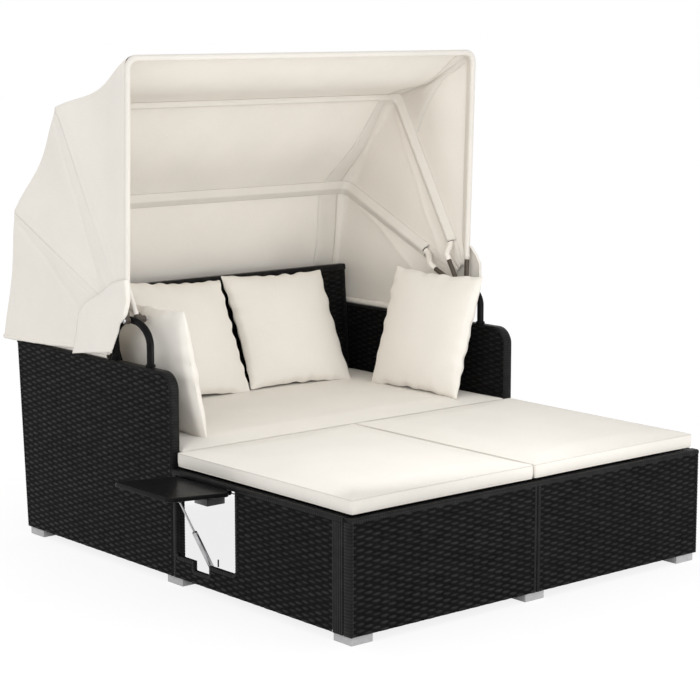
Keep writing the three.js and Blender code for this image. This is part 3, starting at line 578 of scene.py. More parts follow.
def finish_named(name):
    """The daybed's finishes, each made once from a recipe, a colour, how much darker or lighter it
    is taken, and the recipe's own values."""
    if name in made_finishes:
        return made_finishes[name]
    c = colours()
    seat = {"thread": 0.0011}
    roof = {"thread": 0.0008, "strength": 0.25, "sheen": 0.08, "creases": 0.0025}
    recipes = {
        "wicker_strand": (strand_finish, c.wicker, 1, {}),
        "table_plate": (coated_steel, c.wicker, 0.5, {"rough": 0.28, "shine": 0.07}),
        "cushion_cloth": (cloth_finish, c.cloth, 1, seat),
        # painted shade: a darker copy of the cushion cloth, standing in for the shadow along the seams
        "seam_cloth": (cloth_finish, c.cloth, 0.88, seat),
        "pillow_cloth": (cloth_finish, c.cloth, 1, {"thread": 0.0010}),
        "canopy_cloth": (cloth_finish, c.canopy, 1, roof),
        # painted shade: a darker copy of the canopy cloth for the sleeves and the bands beside the seams,
        # standing in for the light that shines less through two layers and for shade on those strips
        "canopy_cloth_doubled": (cloth_finish, c.canopy, 0.92, roof),
        "black_steel": (coated_steel, c.steel, 1, {"rough": 0.16, "shine": 0.06}),
        "bronze_tube": (coated_steel, c.bronze, 1, {"rough": 0.34, "coat": 0.2}),
        "zinc": (bare_metal, c.zinc, 1, {"rough": 0.34}),
        "foot_grey": (grey_plastic, c.feet, 1, {}),
    }
    recipe, colour, amount, values = recipes[name]
    made_finishes[name] = recipe(name, shade(colour, amount), **values)
    return made_finishes[name]


def give(body, slot, piece, *nodes):
    """Lets a finished piece ride on a body and stand for CAD nodes; the slot is not used."""
    if body is not None:
        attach(piece, body)
    if nodes:
        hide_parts(*nodes)
    return piece


# Stage


CAMERA = {"place": (-4.1035, -4.8384, 1.6501), "looks_down": 8.9131, "turn": -40.2619, "lens": 107.1,
          "film": 36, "shift": (-0.00236, -0.01516), "clip_end": 200}
# each lamp's place, size, power and the point it shines at
LAMPS = {
    "key_light": ((-5.6, -2.2, 2.6), 3.2, 60, (0, 0, 0.5)),
    "front_light": ((-1.2, -6.4, 1.3), 4.0, 18, (0, 0, 0.5)),
    "inside_light": ((-0.25, -1.0, 1.02), 1.1, 5.9, (0.1, 0.75, 1.50)),
    "side_light": ((1.0, -2.5, 0.35), 0.5, 8.5, (-0.5, -0.8, 0.15)),
}
WORLD_LIGHT = 0.835
FLOOR = {"half": 30.0, "below": 0.0005, "glow": 0.84}


class DAYBED_OT_stage(bpy.types.Operator):
    """Puts up the camera, the soft studio light and the white floor"""

    bl_idname = "daybed.stage"
    bl_label = "Stage"

    def execute(self, context):
        scene = context.scene
        data = bpy.data.cameras.new("camera")
        camera = linked("camera", data)
        camera.location = CAMERA["place"]
        camera.rotation_euler = Euler(
            (math.radians(90 - CAMERA["looks_down"]), 0, math.radians(CAMERA["turn"])))
        data.lens, data.sensor_width, data.clip_end = CAMERA["lens"], CAMERA["film"], CAMERA["clip_end"]
        data.shift_x, data.shift_y = CAMERA["shift"]
        scene.camera = camera
        scene.view_settings.view_transform = "Standard"
        self.world(scene)
        self.floor()
        for name, values in LAMPS.items():
            self.lamp(name, *values)
        return {"FINISHED"}

    def world(self, scene):
        """Even light on the object, and plain white where the world itself is seen."""
        world = bpy.data.worlds.new("studio")
        scene.world = world
        world.use_nodes = True
        tree = world.node_tree
        background = tree.nodes["Background"]
        background.inputs["Color"].default_value = (1, 1, 1, 1)
        strength = tree.nodes.new("ShaderNodeMapRange")
        strength.inputs["To Min"].default_value = WORLD_LIGHT
        tree.links.new(self.seen_directly(tree).outputs[0], strength.inputs["Value"])
        tree.links.new(strength.outputs["Result"], background.inputs["Strength"])

    def seen_directly(self, tree):
        """1 for camera, glossy and transmission rays, 0 for the rays that light the object."""
        path = tree.nodes.new("ShaderNodeLightPath")
        seen = path.outputs["Is Camera Ray"]
        for ray in ("Is Glossy Ray", "Is Transmission Ray"):
            either = tree.nodes.new("ShaderNodeMath")
            either.operation = "MAXIMUM"
            tree.links.new(seen, either.inputs[0])
            tree.links.new(path.outputs[ray], either.inputs[1])
            seen = either.outputs[0]
        return either

    def floor(self):
        """A white plane that glows white where it is seen and reflects little onto the object."""
        shell = Shell()
        line = np.linspace(-FLOOR["half"], FLOOR["half"], 3)
        x, y = np.meshgrid(line, line, indexing="ij")
        shell.grid(np.stack([x, y, np.full_like(x, -FLOOR["below"])], -1))
        finish = Finish("white_floor")
        finish.set(Roughness=0.9, Specular_IOR_Level=0.0, Emission_Color=(1, 1, 1, 1))
        speck = finish.noise(finish.coordinates("Object"), scale=3.0)
        lit = finish.ramp(speck, "Fac", [(0.3, (0.86, 0.86, 0.855)), (0.7, (0.88, 0.88, 0.875))])
        shown = finish.ramp(speck, "Fac", [(0.3, grey(0.20)), (0.7, grey(0.21))])
        seen = self.seen_directly(finish.tree)
        tone = finish.node("ShaderNodeMix", data_type="RGBA")
        finish.link(seen, 0, tone, 0)
        finish.link(lit, "Color", tone, MIX_FIRST)
        finish.link(shown, "Color", tone, MIX_SECOND)
        finish.link(tone, MIX_COLOUR, finish.shader, "Base Color")
        finish.range(seen, 0, 0.0, FLOOR["glow"], "Emission Strength")
        shell.build("floor", finish.material)

    def lamp(self, name, place, size, power, target):
        """A square soft light that shines at a target."""
        data = bpy.data.lights.new(name, "AREA")
        data.size, data.energy = size, power
        lamp = linked(name, data)
        lamp.location = place
        lamp.rotation_euler = (Vector(target) - Vector(place)).to_track_quat("-Z", "Y").to_euler()


# Seat cushions and pillows


STUFFING_FRAMES = 14
STUFFED_BY = ("pressure", "cap", "stiff")
STUFFING = {"quality": 6, "mass": 0.35, "bending_stiffness": 0.6, "air_damping": 3.0, "use_pressure": True,
            "vertex_group_mass": "held"}


def mesh_points(mesh):
    """A mesh's points as rows of three."""
    points = np.empty(len(mesh.vertices) * 3)
    mesh.vertices.foreach_get("co", points)
    return points.reshape(-1, 3)


def stuffed(name, points, quads, pinned, pressure, cap, stiff):
    """Blows a closed cover up with cloth simulation, without gravity. Points of the pinned mask
    stay, and no point moves further than the cap."""
    mesh = bpy.data.meshes.new(name + "_stuffing")
    mesh.from_pydata(points.tolist(), [], quads.tolist())
    piece = linked(name + "_stuffing", mesh)
    group = piece.vertex_groups.new(name="held")
    group.add(np.flatnonzero(pinned).tolist(), 1.0, "REPLACE")
    cloth = piece.modifiers.new("cover", "CLOTH")
    settings = cloth.settings
    for key, value in STUFFING.items():
        setattr(settings, key, value)
    settings.tension_stiffness = settings.compression_stiffness = stiff
    settings.shear_stiffness = stiff / 3
    settings.uniform_pressure_force = pressure
    settings.effector_weights.gravity = 0
    cloth.collision_settings.use_collision = False
    cloth.point_cache.frame_start = 1
    cloth.point_cache.frame_end = STUFFING_FRAMES
    for number in range(1, STUFFING_FRAMES + 1):
        bpy.context.scene.frame_set(number)
    evaluated = piece.evaluated_get(bpy.context.evaluated_depsgraph_get())
    step = mesh_points(evaluated.to_mesh()) - points
    evaluated.to_mesh_clear()
    bpy.context.scene.frame_set(1)
    bpy.data.objects.remove(piece)
    far = np.linalg.norm(step, axis=1)[:, None]
    return points + step * np.minimum(1, cap / np.maximum(far, 1e-9))


def flat_coordinates(points, quads):
    """Each face corner's flat coordinate: the two coordinates across the face's main direction."""
    corners = points[quads]
    normal = np.cross(corners[:, 2] - corners[:, 0], corners[:, 3] - corners[:, 1])
    axis = np.abs(normal).argmax(1)
    picks = np.array([[1, 2], [0, 2], [0, 1]])[axis]
    return np.take_along_axis(corners, picks[:, None, :].repeat(4, 1), 2)


def ripple(points, seed, waves, low, high, depth):
    """A smooth seeded field: the mean of several sine waves of random direction and length."""
    draw = np.random.default_rng(seed)
    total = np.zeros(len(points))
    for _ in range(waves):
        way = draw.normal(size=3)
        way /= np.linalg.norm(way)
        length = draw.uniform(low, high)
        total += np.sin(points @ way * 2 * np.pi / length + draw.uniform(0, 2 * np.pi))
    return total * depth / waves


def piping_along(shell, line, radius):
    """A thin round seam along a closed line of points that need not lie in a plane."""
    tangent = directions(line, closed=True)
    side = unit(np.cross(tangent, (0.0, 0.0, 1.0)))
    lift = np.cross(side, tangent)
    ring = circle(radius, 8)
    points = line[:, None] + ring[:, :1] * side[:, None] + ring[:, 1:] * lift[:, None]
    shell.grid(points, round_rows=True, round_columns=True, turn=True)


def smooth_loop(line, rounds=2):
    """A closed line with each point drawn towards the mean of its neighbours."""
    for _ in range(rounds):
        line = (np.roll(line, 1, 0) + 2 * line + np.roll(line, -1, 0)) / 4
    return line


def padded_cover(node, placed, quads, shape, finish):
    """A padded piece's cover, one level finer, with its pattern laid out on the unplaced shape."""
    shell = Shell()
    shell.add(placed, quads, flat_coordinates(shape, quads))
    cover = shell.build(node + "_cover", finish_named(finish))
    modifier = cover.modifiers.new("finer", "SUBSURF")
    modifier.levels = modifier.render_levels = 1
    give("base", "off_white_cloth", cover, node)


CUSHION = {
    "step": 0.014,  # between the points of the cover
    "pull": 0.0035,  # how far the sides are drawn in between the corners
    "crown": 0.006,  # how far the middle of the top stands over its rim
    "edge": 0.0085,  # radius of the edges
    "seam": 0.86,  # height of the seams, as a share of half the cushion
    "pressure": 1.1, "cap": 0.007, "stiff": 15.0,
    "dents": (9, 0.12, 0.4, 0.0016),  # waves, shortest, longest and depth
}


class DAYBED_OT_seat_cushions(bpy.types.Operator):
    """Makes the three boxed seat cushions with their sewn edges"""

    bl_idname = "daybed.seat_cushions"
    bl_label = "Seat cushions"

    def execute(self, context):
        for number, place in enumerate(("front_left", "front_right", "rear")):
            self.cushion(f"seat_cushion_{place}", number)
        return {"FINISHED"}

    def cushion(self, node, number):
        """A box cover with rounded edges: sides drawn in by pull (1 - t^4), the top lifted by crown
        (1 - a^4)(1 - b^4), then blown up a little between its held seams."""
        low, high = (np.array(corner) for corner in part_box(node))
        half, centre = (high - low) / 2, (high + low) / 2
        step, pull, crown, edge, level = (CUSHION[key] for key in ("step", "pull", "crown", "edge", "seam"))
        counts = np.maximum(2, np.round(2 * half / step)).astype(int)
        lines = [np.linspace(-1, 1, counts[0] + 1), np.linspace(-1, 1, counts[1] + 1),
                 np.array([-1, -level, -0.5, 0, 0.5, level, 1])]
        # closer rows beside the rounded edges
        for axis in (0, 1):
            near = 1 - np.array([pull, edge]) / half[axis]
            lines[axis] = np.unique(np.concatenate([lines[axis], near, -near]))
        points, quads = cube_surface(lines)
        a, b, c = points.T
        size_x = half[0] - pull * (1 - b**4)
        size_y = half[1] - pull * (1 - a**4)
        flat = np.stack([a * size_x, b * size_y, c * (half[2] - crown * (c > 0))], 1)
        limit = np.stack([size_x, size_y, np.full_like(a, half[2] - crown)], 1) - edge
        inner = np.clip(flat, -limit, limit)
        out = flat - inner
        reach = np.linalg.norm(out, axis=1)[:, None]
        shape = inner + out / np.maximum(reach, 1e-9) * np.minimum(reach, edge)
        top, bottom = c > 0.99, c < -0.99
        shape[:, 2] += crown * (1 - a**4) * (1 - b**4) * top
        # the seams where the top and bottom covers meet the side band
        on_wall = np.maximum(np.abs(a), np.abs(b)) > 1 - 1e-6
        seam = (np.abs(np.abs(c) - level) < 0.02) & on_wall
        shape = stuffed(node, shape, quads, seam | bottom, *(CUSHION[key] for key in STUFFED_BY))
        dents = ripple(shape, 40 + number, *CUSHION["dents"])
        shape[:, 2] += dents * top * (1 - a**6) * (1 - b**6)
        shape[:, 2] = np.maximum(shape[:, 2], -half[2])
        padded_cover(node, shape + centre, quads, shape, "cushion_cloth")

        seams = Shell()
        for height in (-level, level):
            loop = np.flatnonzero(seam & (np.abs(c - height) < 0.02))
            turn = np.arctan2(b[loop], a[loop])
            line = shape[loop[np.argsort(turn)]] + centre
            piping_along(seams, smooth_loop(line), sizes().piping / 2)
        # the seams take the darker cloth as painted shade
        bead = seams.build(node + "_seams", finish_named("seam_cloth"))
        give("base", "off_white_cloth", bead)


# each pillow's turn, lean and roll in degrees, and its shift from the CAD block's middle
PILLOWS = {
    "pillow_left_arm": ((86, -11, 0), (0.004, 0, -0.002)),
    "pillow_back_left": ((4, -28, 4.5), (0.008, 0, 0.010)),
    "pillow_back_right": ((-4, -28.5, 1.3), (0.004, 0, 0.008)),
    "pillow_right_arm": ((-88, -17, 0), (0.004, -0.066, 0.010)),
}
PILLOW = {
    "half": 0.206, "thick": 0.0505, "rim": 0.0015,  # half a side, and half thicknesses
    "pull": 0.011,  # how far the sides are drawn in between the corners
    "pressure": 1.6, "cap": 0.012, "stiff": 12.0,
    "folds": (0.32, 0.0014),  # reach inwards from the seam, and height
    "seam_folds": (0.10, 0.0011),
}


class DAYBED_OT_pillows(bpy.types.Operator):
    """Makes the four throw pillows, blown up from two square panels"""

    bl_idname = "daybed.pillows"
    bl_label = "Throw pillows"

    def execute(self, context):
        for number, node in enumerate(PILLOWS):
            self.pillow(node, number)
        return {"FINISHED"}

    def pillow(self, node, number):
        """Two square panels sewn at the rim: half thickness = rim + thick ((1-a^2)(1-b^2))^0.42, sides
        drawn in by pull (1 - t^2), then blown up, with puckers that run in from the seam."""
        angles, shift = PILLOWS[node]
        centre = mesh_points(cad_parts[node].data).mean(0) + np.array(shift)
        half, pull = PILLOW["half"], PILLOW["pull"]
        line = np.linspace(-1, 1, 49)
        points, quads = cube_surface([line, np.array([-1.0, 0.0, 1.0]), line])
        a, side, b = points.T
        puff = ((1 - a**2) * (1 - b**2)) ** 0.42
        x = a * (half - pull * (1 - b**2))
        z = b * (half - pull * (1 - a**2))
        y = side * (PILLOW["rim"] + PILLOW["thick"] * puff)
        shape = self.puckered(np.stack([x, y, z], 1), a, b, side, number)
        rim = np.maximum(np.abs(a), np.abs(b)) > 0.999
        shape = stuffed(node, shape, quads, rim, *(PILLOW[key] for key in STUFFED_BY))
        turn, lean, roll = (math.radians(angle) for angle in angles)
        matrix = np.array(Euler((0, 0, turn)).to_matrix() @ Euler((lean, 0, 0)).to_matrix()
                          @ Euler((0, roll, 0)).to_matrix())
        placed = self.settled(shape @ matrix.T + centre)
        padded_cover(node, placed, quads, shape, "pillow_cloth")

    def puckered(self, shape, a, b, side, number):
        """Short folds square to the seam: sine waves along each edge that die out inwards."""
        draw = np.random.default_rng(70 + number)
        reach, height = PILLOW["folds"]
        seam_reach, seam_height = PILLOW["seam_folds"]
        for axis, along, across in ((2, a, b), (0, b, a)):
            for end in (-1, 1):
                wave = np.zeros_like(along)
                for _ in range(4):
                    wave += np.sin(along * draw.uniform(9, 26) + draw.uniform(0, 6.28))
                wave *= 1 - along**4
                in_from = 1 - end * across
                shape[:, 1] += side * height * wave * np.clip(1 - in_from / reach, 0, 1) ** 2
                shape[:, axis] += end * seam_height * wave * np.clip(1 - in_from / seam_reach, 0, 1)
        return shape

    def settled(self, placed):
        """Flattens the pillow where it would sink into the rear seat cushion."""
        sink, press = 0.002, 0.15
        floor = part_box("seat_cushion_rear")[1].z - sink
        deep = placed[:, 2] < floor
        placed[deep, 2] = floor - press * (floor - placed[deep, 2])
        return placed


# Wicker panels


WEAVE_TOP = 0.0012  # from the panel's middle surface to the crests
WEAVE_DEPTH = 0.0022  # from the crests to the depth where the painted shade in the gaps is darkest
UNEVEN = 0.00025  # from strand to strand
STRAND_ROUND = 0.0011  # how far a strand's edges lie under its middle
RIB = (0.0055, -0.0006, 0.0012)  # a stake's half width, its height, and how far its sides fall
UPRIGHT_PITCH = 0.0088  # width of an upright strand
UPRIGHT_ROUND = 0.0012
CORE_INSET = 0.0052  # how far the dark body lies under the weave
TUCK, FRONT_TUCK = 0.006, 0.004  # how far the weave runs under a border
UNDER = 0.6  # how far one border runs under another, as a share of its width
GROOVE = 0.0007  # between the turns of a wound strand
# tones of a wound strand's crests and grooves: the lower groove tone paints shade into the grooves
CREST_TONE, GROOVE_SHADE_TONE = 0.85, 0.50
INNER_BEND = 0.0015  # radius of a border's inner corners, which the weave meets
BACK_LEAN = 0.065  # how far the back leans for each metre of height
# widths of the wound borders; those given as shares are shares of the wrap's width
FRONT_POST, FRONT_JOINT, FRONT_TOP_SHARE = 0.009, 0.012, 0.62
SIDE_TOP, SIDE_REAR, SIDE_HEM = 0.0148, 0.018, 0.012
ARM_SHARE = 0.4
ARM_CORNER = 0.055  # radius of the arm panel's front corner
SIDE_BODY = 0.014  # thickness of a side panel beside its opening
SIDE_POST_GAP = 0.010  # from the top of a side panel to its upright borders
STILE = (0.012, 0.002)  # how far the front upright's middle lies behind the panel's face and front
FRONT_UPRIGHTS = 5  # upright strands at a side panel's front edge
# the table's opening in a side panel: along Y, up from its sill, with a notch for the strut's foot
OPENING = {"start": -0.300, "end": -0.021, "sill": 0.092, "top": 0.330, "corner": 0.008,
           "notch_start": -0.176, "notch_end": -0.106, "notch_sill": 0.064}


def weave_height(u, v, pitch):
    """How far a plain weave stands out at (u, v). Row r of strands swings as rise cos(pi u / stake
    pitch), turned over in every other row, and is rounded across its own width; upright stakes show
    as low ribs where the strands pass behind them. The higher of the two is seen."""
    s = sizes()
    row = np.floor(v / pitch + 1e-6).astype(int)
    across = v / pitch - row - 0.5
    uneven = np.random.default_rng(5).uniform(-1, 1, 4096)
    stake = np.round(u / s.stake_pitch).astype(int)
    swing = np.cos(np.pi * u / s.stake_pitch) * np.where(row % 2, -1, 1)
    swing = np.sign(swing) * np.abs(swing) ** 0.7
    lift = UNEVEN * uneven[(row * 131 + stake * 17) % len(uneven)]
    strand = s.strand_rise * swing - STRAND_ROUND * np.abs(2 * across) ** 2.2 + lift
    half_width, height, fall = RIB
    off = (u - stake * s.stake_pitch) / half_width
    return np.maximum(strand, height - fall * off**2)


def upright_height(u, v, pitch):
    """Upright strands side by side: each is rounded across its own width."""
    across = u / UPRIGHT_PITCH - np.floor(u / UPRIGHT_PITCH) - 0.5
    return WEAVE_TOP - UPRIGHT_ROUND * np.abs(2 * across) ** 2.6


def woven_face(shell, place, u_range, v_range, inside=None, flip=False, height=weave_height):
    """A woven height field over a flat face. place(u, v, out) gives the model point, out being
    measured outwards from the panel's face; inside(u, v) says where the face has weave."""
    s = sizes()
    rows = max(1, round((v_range[1] - v_range[0]) / s.strand_pitch))
    pitch = (v_range[1] - v_range[0]) / rows
    v = np.arange(4 * rows + 1) * pitch / 4
    fine = (s.stake_pitch if height is weave_height else UPRIGHT_PITCH) / 6
    columns = max(2, round((u_range[1] - u_range[0]) / fine))
    u = np.linspace(0, u_range[1] - u_range[0], columns + 1)
    v_grid, u_grid = np.meshgrid(v, u, indexing="ij")
    out = height(u_grid, np.minimum(v_grid, v[-1] - 1e-7), pitch) - WEAVE_TOP
    u_grid, v_grid = u_grid + u_range[0], v_grid + v_range[0]
    keep = None
    if inside is not None:
        quads, _ = grid_faces(*u_grid.shape)
        keep = inside(u_grid, v_grid).ravel()[quads].all(1)
    # tone for the painted shade: 0 in the deepest gaps, near 1 on the crests
    tone = np.clip(1 + out / WEAVE_DEPTH, 0, 0.999)
    shell.grid(place(u_grid, v_grid, out), keep=keep, flip=flip, tone=tone)


def wound_edge(shell, path, normal, width, thickness, inwards=1, closed=False, radius=0.007, pitch=None):
    """A strand wound round a panel's edge. The section is a rounded rectangle from the edge inwards
    by width and thick across; each turn of the strand is flat with a groove at its sides, the inset
    being depth (2 t - 1)^4 over one turn, and painted shade darkens the grooves through a lower tone."""
    path = np.asarray(path, float)
    total = run_along(path)[-1]
    turns = max(1, round(total / (pitch or sizes().wrap_pitch)))
    fine = resampled(path, total / turns / 4)
    phase = (np.arange(len(fine)) % 4) / 4
    inset = GROOVE * (2 * phase - 1) ** 4
    corners = []
    for sx, sy, start in ((1, 1, 0), (-1, 1, 90), (-1, -1, 180), (1, -1, 270)):
        bend = radius if sx * inwards > 0 else INNER_BEND
        middle = (sx * (width / 2 - bend), sy * (thickness / 2 - bend))
        corners.append(arc(middle, bend, start, start + 90, 3))
    size = np.array([width / 2, thickness / 2])
    section = np.concatenate(corners) * (1 - inset[:, None, None] / size)
    points = swept(fine, normal, section + np.array([-inwards * width / 2, 0]), closed)
    # painted shade: the grooves between turns get a lower tone, so the strand finish darkens them
    tone = CREST_TONE - (CREST_TONE - GROOVE_SHADE_TONE) * inset / inset.max()
    tone = np.broadcast_to(tone[:, None], points.shape[:2])
    shell.grid(points, round_columns=True, round_rows=closed, turn=True, tone=tone)
    if not closed:
        shell.caps(points)


def drawn_in(loop, inset):
    """A closed outline moved inwards, to its left, by the inset: each corner goes along the sum of its
    two edge normals, divided by one plus their product."""
    loop = np.asarray(loop, float)
    ahead = unit(np.roll(loop, -1, 0) - loop)
    normal = np.stack([-ahead[:, 1], ahead[:, 0]], 1)
    before = np.roll(normal, 1, 0)
    spread = 1 + (normal * before).sum(1)[:, None]
    return loop + inset * (normal + before) / spread


def core(shell, outline, place, low, high, holes=()):
    """The dark body under the weave: the outline drawn in by the inset, the holes widened by it,
    given its thickness."""
    loops = [drawn_in(outline, CORE_INSET)] + [drawn_in(hole, -CORE_INSET) for hole in holes]
    prism(shell, loops, min(low, high), max(low, high), place)


class DAYBED_OT_wicker(bpy.types.Operator):
    """Weaves the panels of the base and winds their edges"""

    bl_idname = "daybed.wicker"
    bl_label = "Wicker panels"

    def execute(self, context):
        for name, side in SIDES.items():
            self.front_panel(name, side)
            self.side_panel(name, side)
            self.arm_panel(name, side)
        self.back_panel()
        return {"FINISHED"}

    def finish(self, shell, name, *nodes):
        """Builds a woven piece of the base."""
        give("base", "wicker", shell.build(name, finish_named("wicker_strand")), *nodes)

    def side_place(self, side, face):
        """(u, v, out) to the model on a side panel's outer face: u along Y, v up."""
        return lambda u, v, out: np.stack([side * (face + out), u, v], -1)

    def front_panel(self, name, side):
        """Weave between the post's border and the joint at the middle, under a wound top edge."""
        low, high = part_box(f"front_panel_{name}")
        shell = Shell()
        thickness = high.y - low.y
        outer, inner = (low.x, high.x) if side < 0 else (high.x, low.x)
        ends = sorted((outer - side * (FRONT_POST - FRONT_TUCK), inner + side * FRONT_JOINT))
        width = sizes().wrap_width * FRONT_TOP_SHARE

        woven_face(shell, lambda u, v, out: np.stack([u, low.y - out, v], -1), ends,
                   (low.z, high.z - width + FRONT_TUCK))
        core(shell, rectangle(low, high, 0, 2), lambda p, d: np.insert(p, 1, d, axis=1),
             low.y + CORE_INSET, high.y - MM)
        middle = low.y + thickness / 2
        top = high.z - width * UNDER
        wound_edge(shell, [[low.x, middle, high.z], [high.x, middle, high.z]], (0, 1, 0), width, thickness)
        wound_edge(shell, [[outer, middle, low.z], [outer, middle, top]], (0, 1, 0), FRONT_POST, thickness,
                   inwards=-side, radius=0.004, pitch=0.0091)
        wound_edge(shell, [[inner, middle, low.z], [inner, middle, top]], (0, 1, 0), FRONT_JOINT, thickness,
                   inwards=side, radius=0.004, pitch=0.006)
        self.finish(shell, f"front_panel_{name}_woven", f"front_panel_{name}")

    def side_panel(self, name, side):
        """Weave round the table's opening, upright strands at its front edge, and wound edges all
        round and inside the opening."""
        low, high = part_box(f"side_panel_{name}")
        shell = Shell()
        thickness = high.x - low.x
        face = max(abs(low.x), abs(high.x))
        start, end, sill, top, corner, notch_start, notch_end, notch_sill = OPENING.values()
        opening = np.array([
            [start, top], [start, sill + corner], [start + corner, sill], [notch_start, sill],
            [notch_start, notch_sill], [notch_end, notch_sill], [notch_end, sill], [end - corner, sill],
            [end, sill + corner], [end, top]])

        def inside(u, v):
            under = SIDE_HEM * UNDER
            hole = (u > start - under) & (u < end + under) & (v > sill - under)
            slot = (u > notch_start - under) & (u < notch_end + under) & (v > notch_sill - under)
            return ~(hole | slot)

        place = self.side_place(side, face)
        column = low.y + FRONT_UPRIGHTS * UPRIGHT_PITCH
        up = (low.z, high.z - sizes().wrap_width + TUCK)
        woven_face(shell, place, (column, high.y - TUCK), up, inside, flip=side < 0)
        woven_face(shell, place, (low.y, column), up, flip=side < 0, height=upright_height)
        core(shell, rectangle(low, high, 1, 2), at_x, side * (face - CORE_INSET), side * (face - SIDE_BODY),
             holes=[opening])
        across = (side, 0, 0)
        middle = (low.x + high.x) / 2
        wound_edge(shell, [[middle, low.y, high.z], [middle, high.y, high.z]], across, SIDE_TOP, thickness,
                   inwards=-side, radius=0.005)
        wound_edge(shell, at_x(opening, side * (face - SIDE_BODY / 2)), across, SIDE_HEM, SIDE_BODY,
                   inwards=-side, radius=0.004)
        top = high.z - SIDE_POST_GAP
        wound_edge(shell, [[middle, high.y, low.z], [middle, high.y, top]], across, SIDE_REAR, thickness,
                   inwards=side)
        stile_x, stile_y = side * (face - STILE[0]), low.y + STILE[1]
        wound_edge(shell, [[stile_x, stile_y, low.z], [stile_x, stile_y, top]], across, SIDE_REAR, SIDE_REAR,
                   inwards=-side)
        self.finish(shell, f"side_panel_{name}_woven", f"side_panel_{name}")

    def arm_panel(self, name, side):
        """Weave on both faces of the arm, with a round front corner and a leaning rear edge."""
        low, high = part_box(f"arm_panel_{name}")
        shell = Shell()
        thickness = high.x - low.x
        face = max(abs(low.x), abs(high.x))
        width = sizes().wrap_width * ARM_SHARE
        under = width * UNDER
        rear_low = high.y - BACK_LEAN * (high.z - low.z)
        centre = (low.y + ARM_CORNER, high.z - ARM_CORNER)

        def inside(u, v):
            corner = (u < centre[0]) & (v > centre[1])
            gone = corner & (np.hypot(u - centre[0], v - centre[1]) > ARM_CORNER - under)
            return (u < high.y - BACK_LEAN * (high.z - v) - under) & ~gone

        start, top = low.y + width * 0.7, high.z - width + TUCK
        woven_face(shell, self.side_place(side, face), (start, high.y), (low.z, top), inside, flip=side < 0)
        woven_face(shell, lambda u, v, out: np.stack([side * (face - thickness - out), u, v], -1),
                   (start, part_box("back_panel")[0].y + 0.03), (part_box("deck_rear")[1].z, top), inside,
                   flip=side > 0)
        curve = arc(centre, ARM_CORNER, 180, 90, 10)
        outline = np.concatenate([[[high.y, high.z], [rear_low, low.z], [low.y, low.z]], curve])[::-1]
        core(shell, outline, at_x, side * (face - CORE_INSET), side * (face - thickness + CORE_INSET))
        across = (side, 0, 0)
        middle = (low.x + high.x) / 2
        edge = at_x(np.concatenate([[[low.y, low.z]], curve, [[high.y, high.z]]]), middle)
        wound_edge(shell, edge, across, width, thickness, inwards=-side)
        wound_edge(shell, [[middle, rear_low, low.z], [middle, high.y - BACK_LEAN * under, high.z - under]],
                   across, width, thickness, inwards=side)
        self.finish(shell, f"arm_panel_{name}_woven", f"arm_panel_{name}")

    def back_panel(self):
        """Weave on both faces of the leaning back, as two pieces, with its wound rim on the front one."""
        low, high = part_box("back_panel")
        rise = high.z - low.z
        thickness = (high.y - low.y) - BACK_LEAN * rise
        width = sizes().wrap_width

        def back_y(v):
            """Where the back's front face stands at a height."""
            return low.y + BACK_LEAN * (v - low.z)

        span = (low.x + width * 0.3, high.x - width * 0.3)
        top = high.z - width + TUCK
        rear = Shell()
        woven_face(rear, lambda u, v, out: np.stack([u, back_y(v) + thickness + out, v], -1), span,
                   (low.z, top), flip=True)
        self.finish(rear, "back_panel_rear_weave")
        front = Shell()
        woven_face(front, lambda u, v, out: np.stack([u, back_y(v) - out, v], -1), span,
                   (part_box("deck_rear")[1].z, top))
        core(front, rectangle(low, high, 0, 2),
             lambda p, d: np.stack([p[:, 0], back_y(p[:, 1]) + d, p[:, 1]], 1),
             CORE_INSET, thickness - CORE_INSET)
        run = np.array([0, BACK_LEAN, 1]) / math.hypot(BACK_LEAN, 1)
        out = np.cross(run, (1, 0, 0))
        rim = np.array([0, back_y(high.z) + thickness / 2, high.z])
        wound_edge(front, rim + np.array([[low.x, 0, 0], [high.x, 0, 0]]), -out, width, thickness, inwards=-1)
        for x, inwards in ((low.x, -1), (high.x, 1)):
            foot = np.array([x, low.y + thickness / 2, low.z])
            head = rim + np.array([x, 0, 0]) - run * width * UNDER
            wound_edge(front, [foot, head], -out, width * UNDER, thickness, inwards=inwards)
        self.finish(front, "back_panel_front_weave", "back_panel")


# Canopy


HUB = np.array([0.0, 0.221, 0.754])
# angle above the horizontal in degrees, distances from the pivots, where its crank begins and ends,
# and the widths of its cloth sleeve on the legs and along the bar
HOOPS = {
    "front": {"angle": 91.8, "reach": 0.767, "half": 0.6865, "eye": 0.6865, "crank": None,
              "body": "canopy_front", "sleeve": (0.034, 0.034)},
    "middle": {"angle": 59.6, "reach": 0.7042, "half": 0.683, "eye": 0.6475, "crank": (0.105, 0.150),
               "body": "canopy_middle", "sleeve": (0.024, 0.013)},
    "back": {"angle": 24.3, "reach": 0.6846, "half": 0.683, "eye": 0.631, "crank": (0.120, 0.215),
             "body": "canopy_back", "sleeve": (0.026, 0.026)},
}
HOOP_RADIUS, HOOP_CORNER = 0.008, 0.032
CLOTH_START = 0.062  # from the pivots to the cloth's ends
CLOTH_STANDOFF = 0.009  # from the middle of a tube to the cloth over it
HEM_ROLL = 0.0062
HEM = {"half": 0.6835, "start": 0.294, "rear": 0.918, "corner": 0.024}
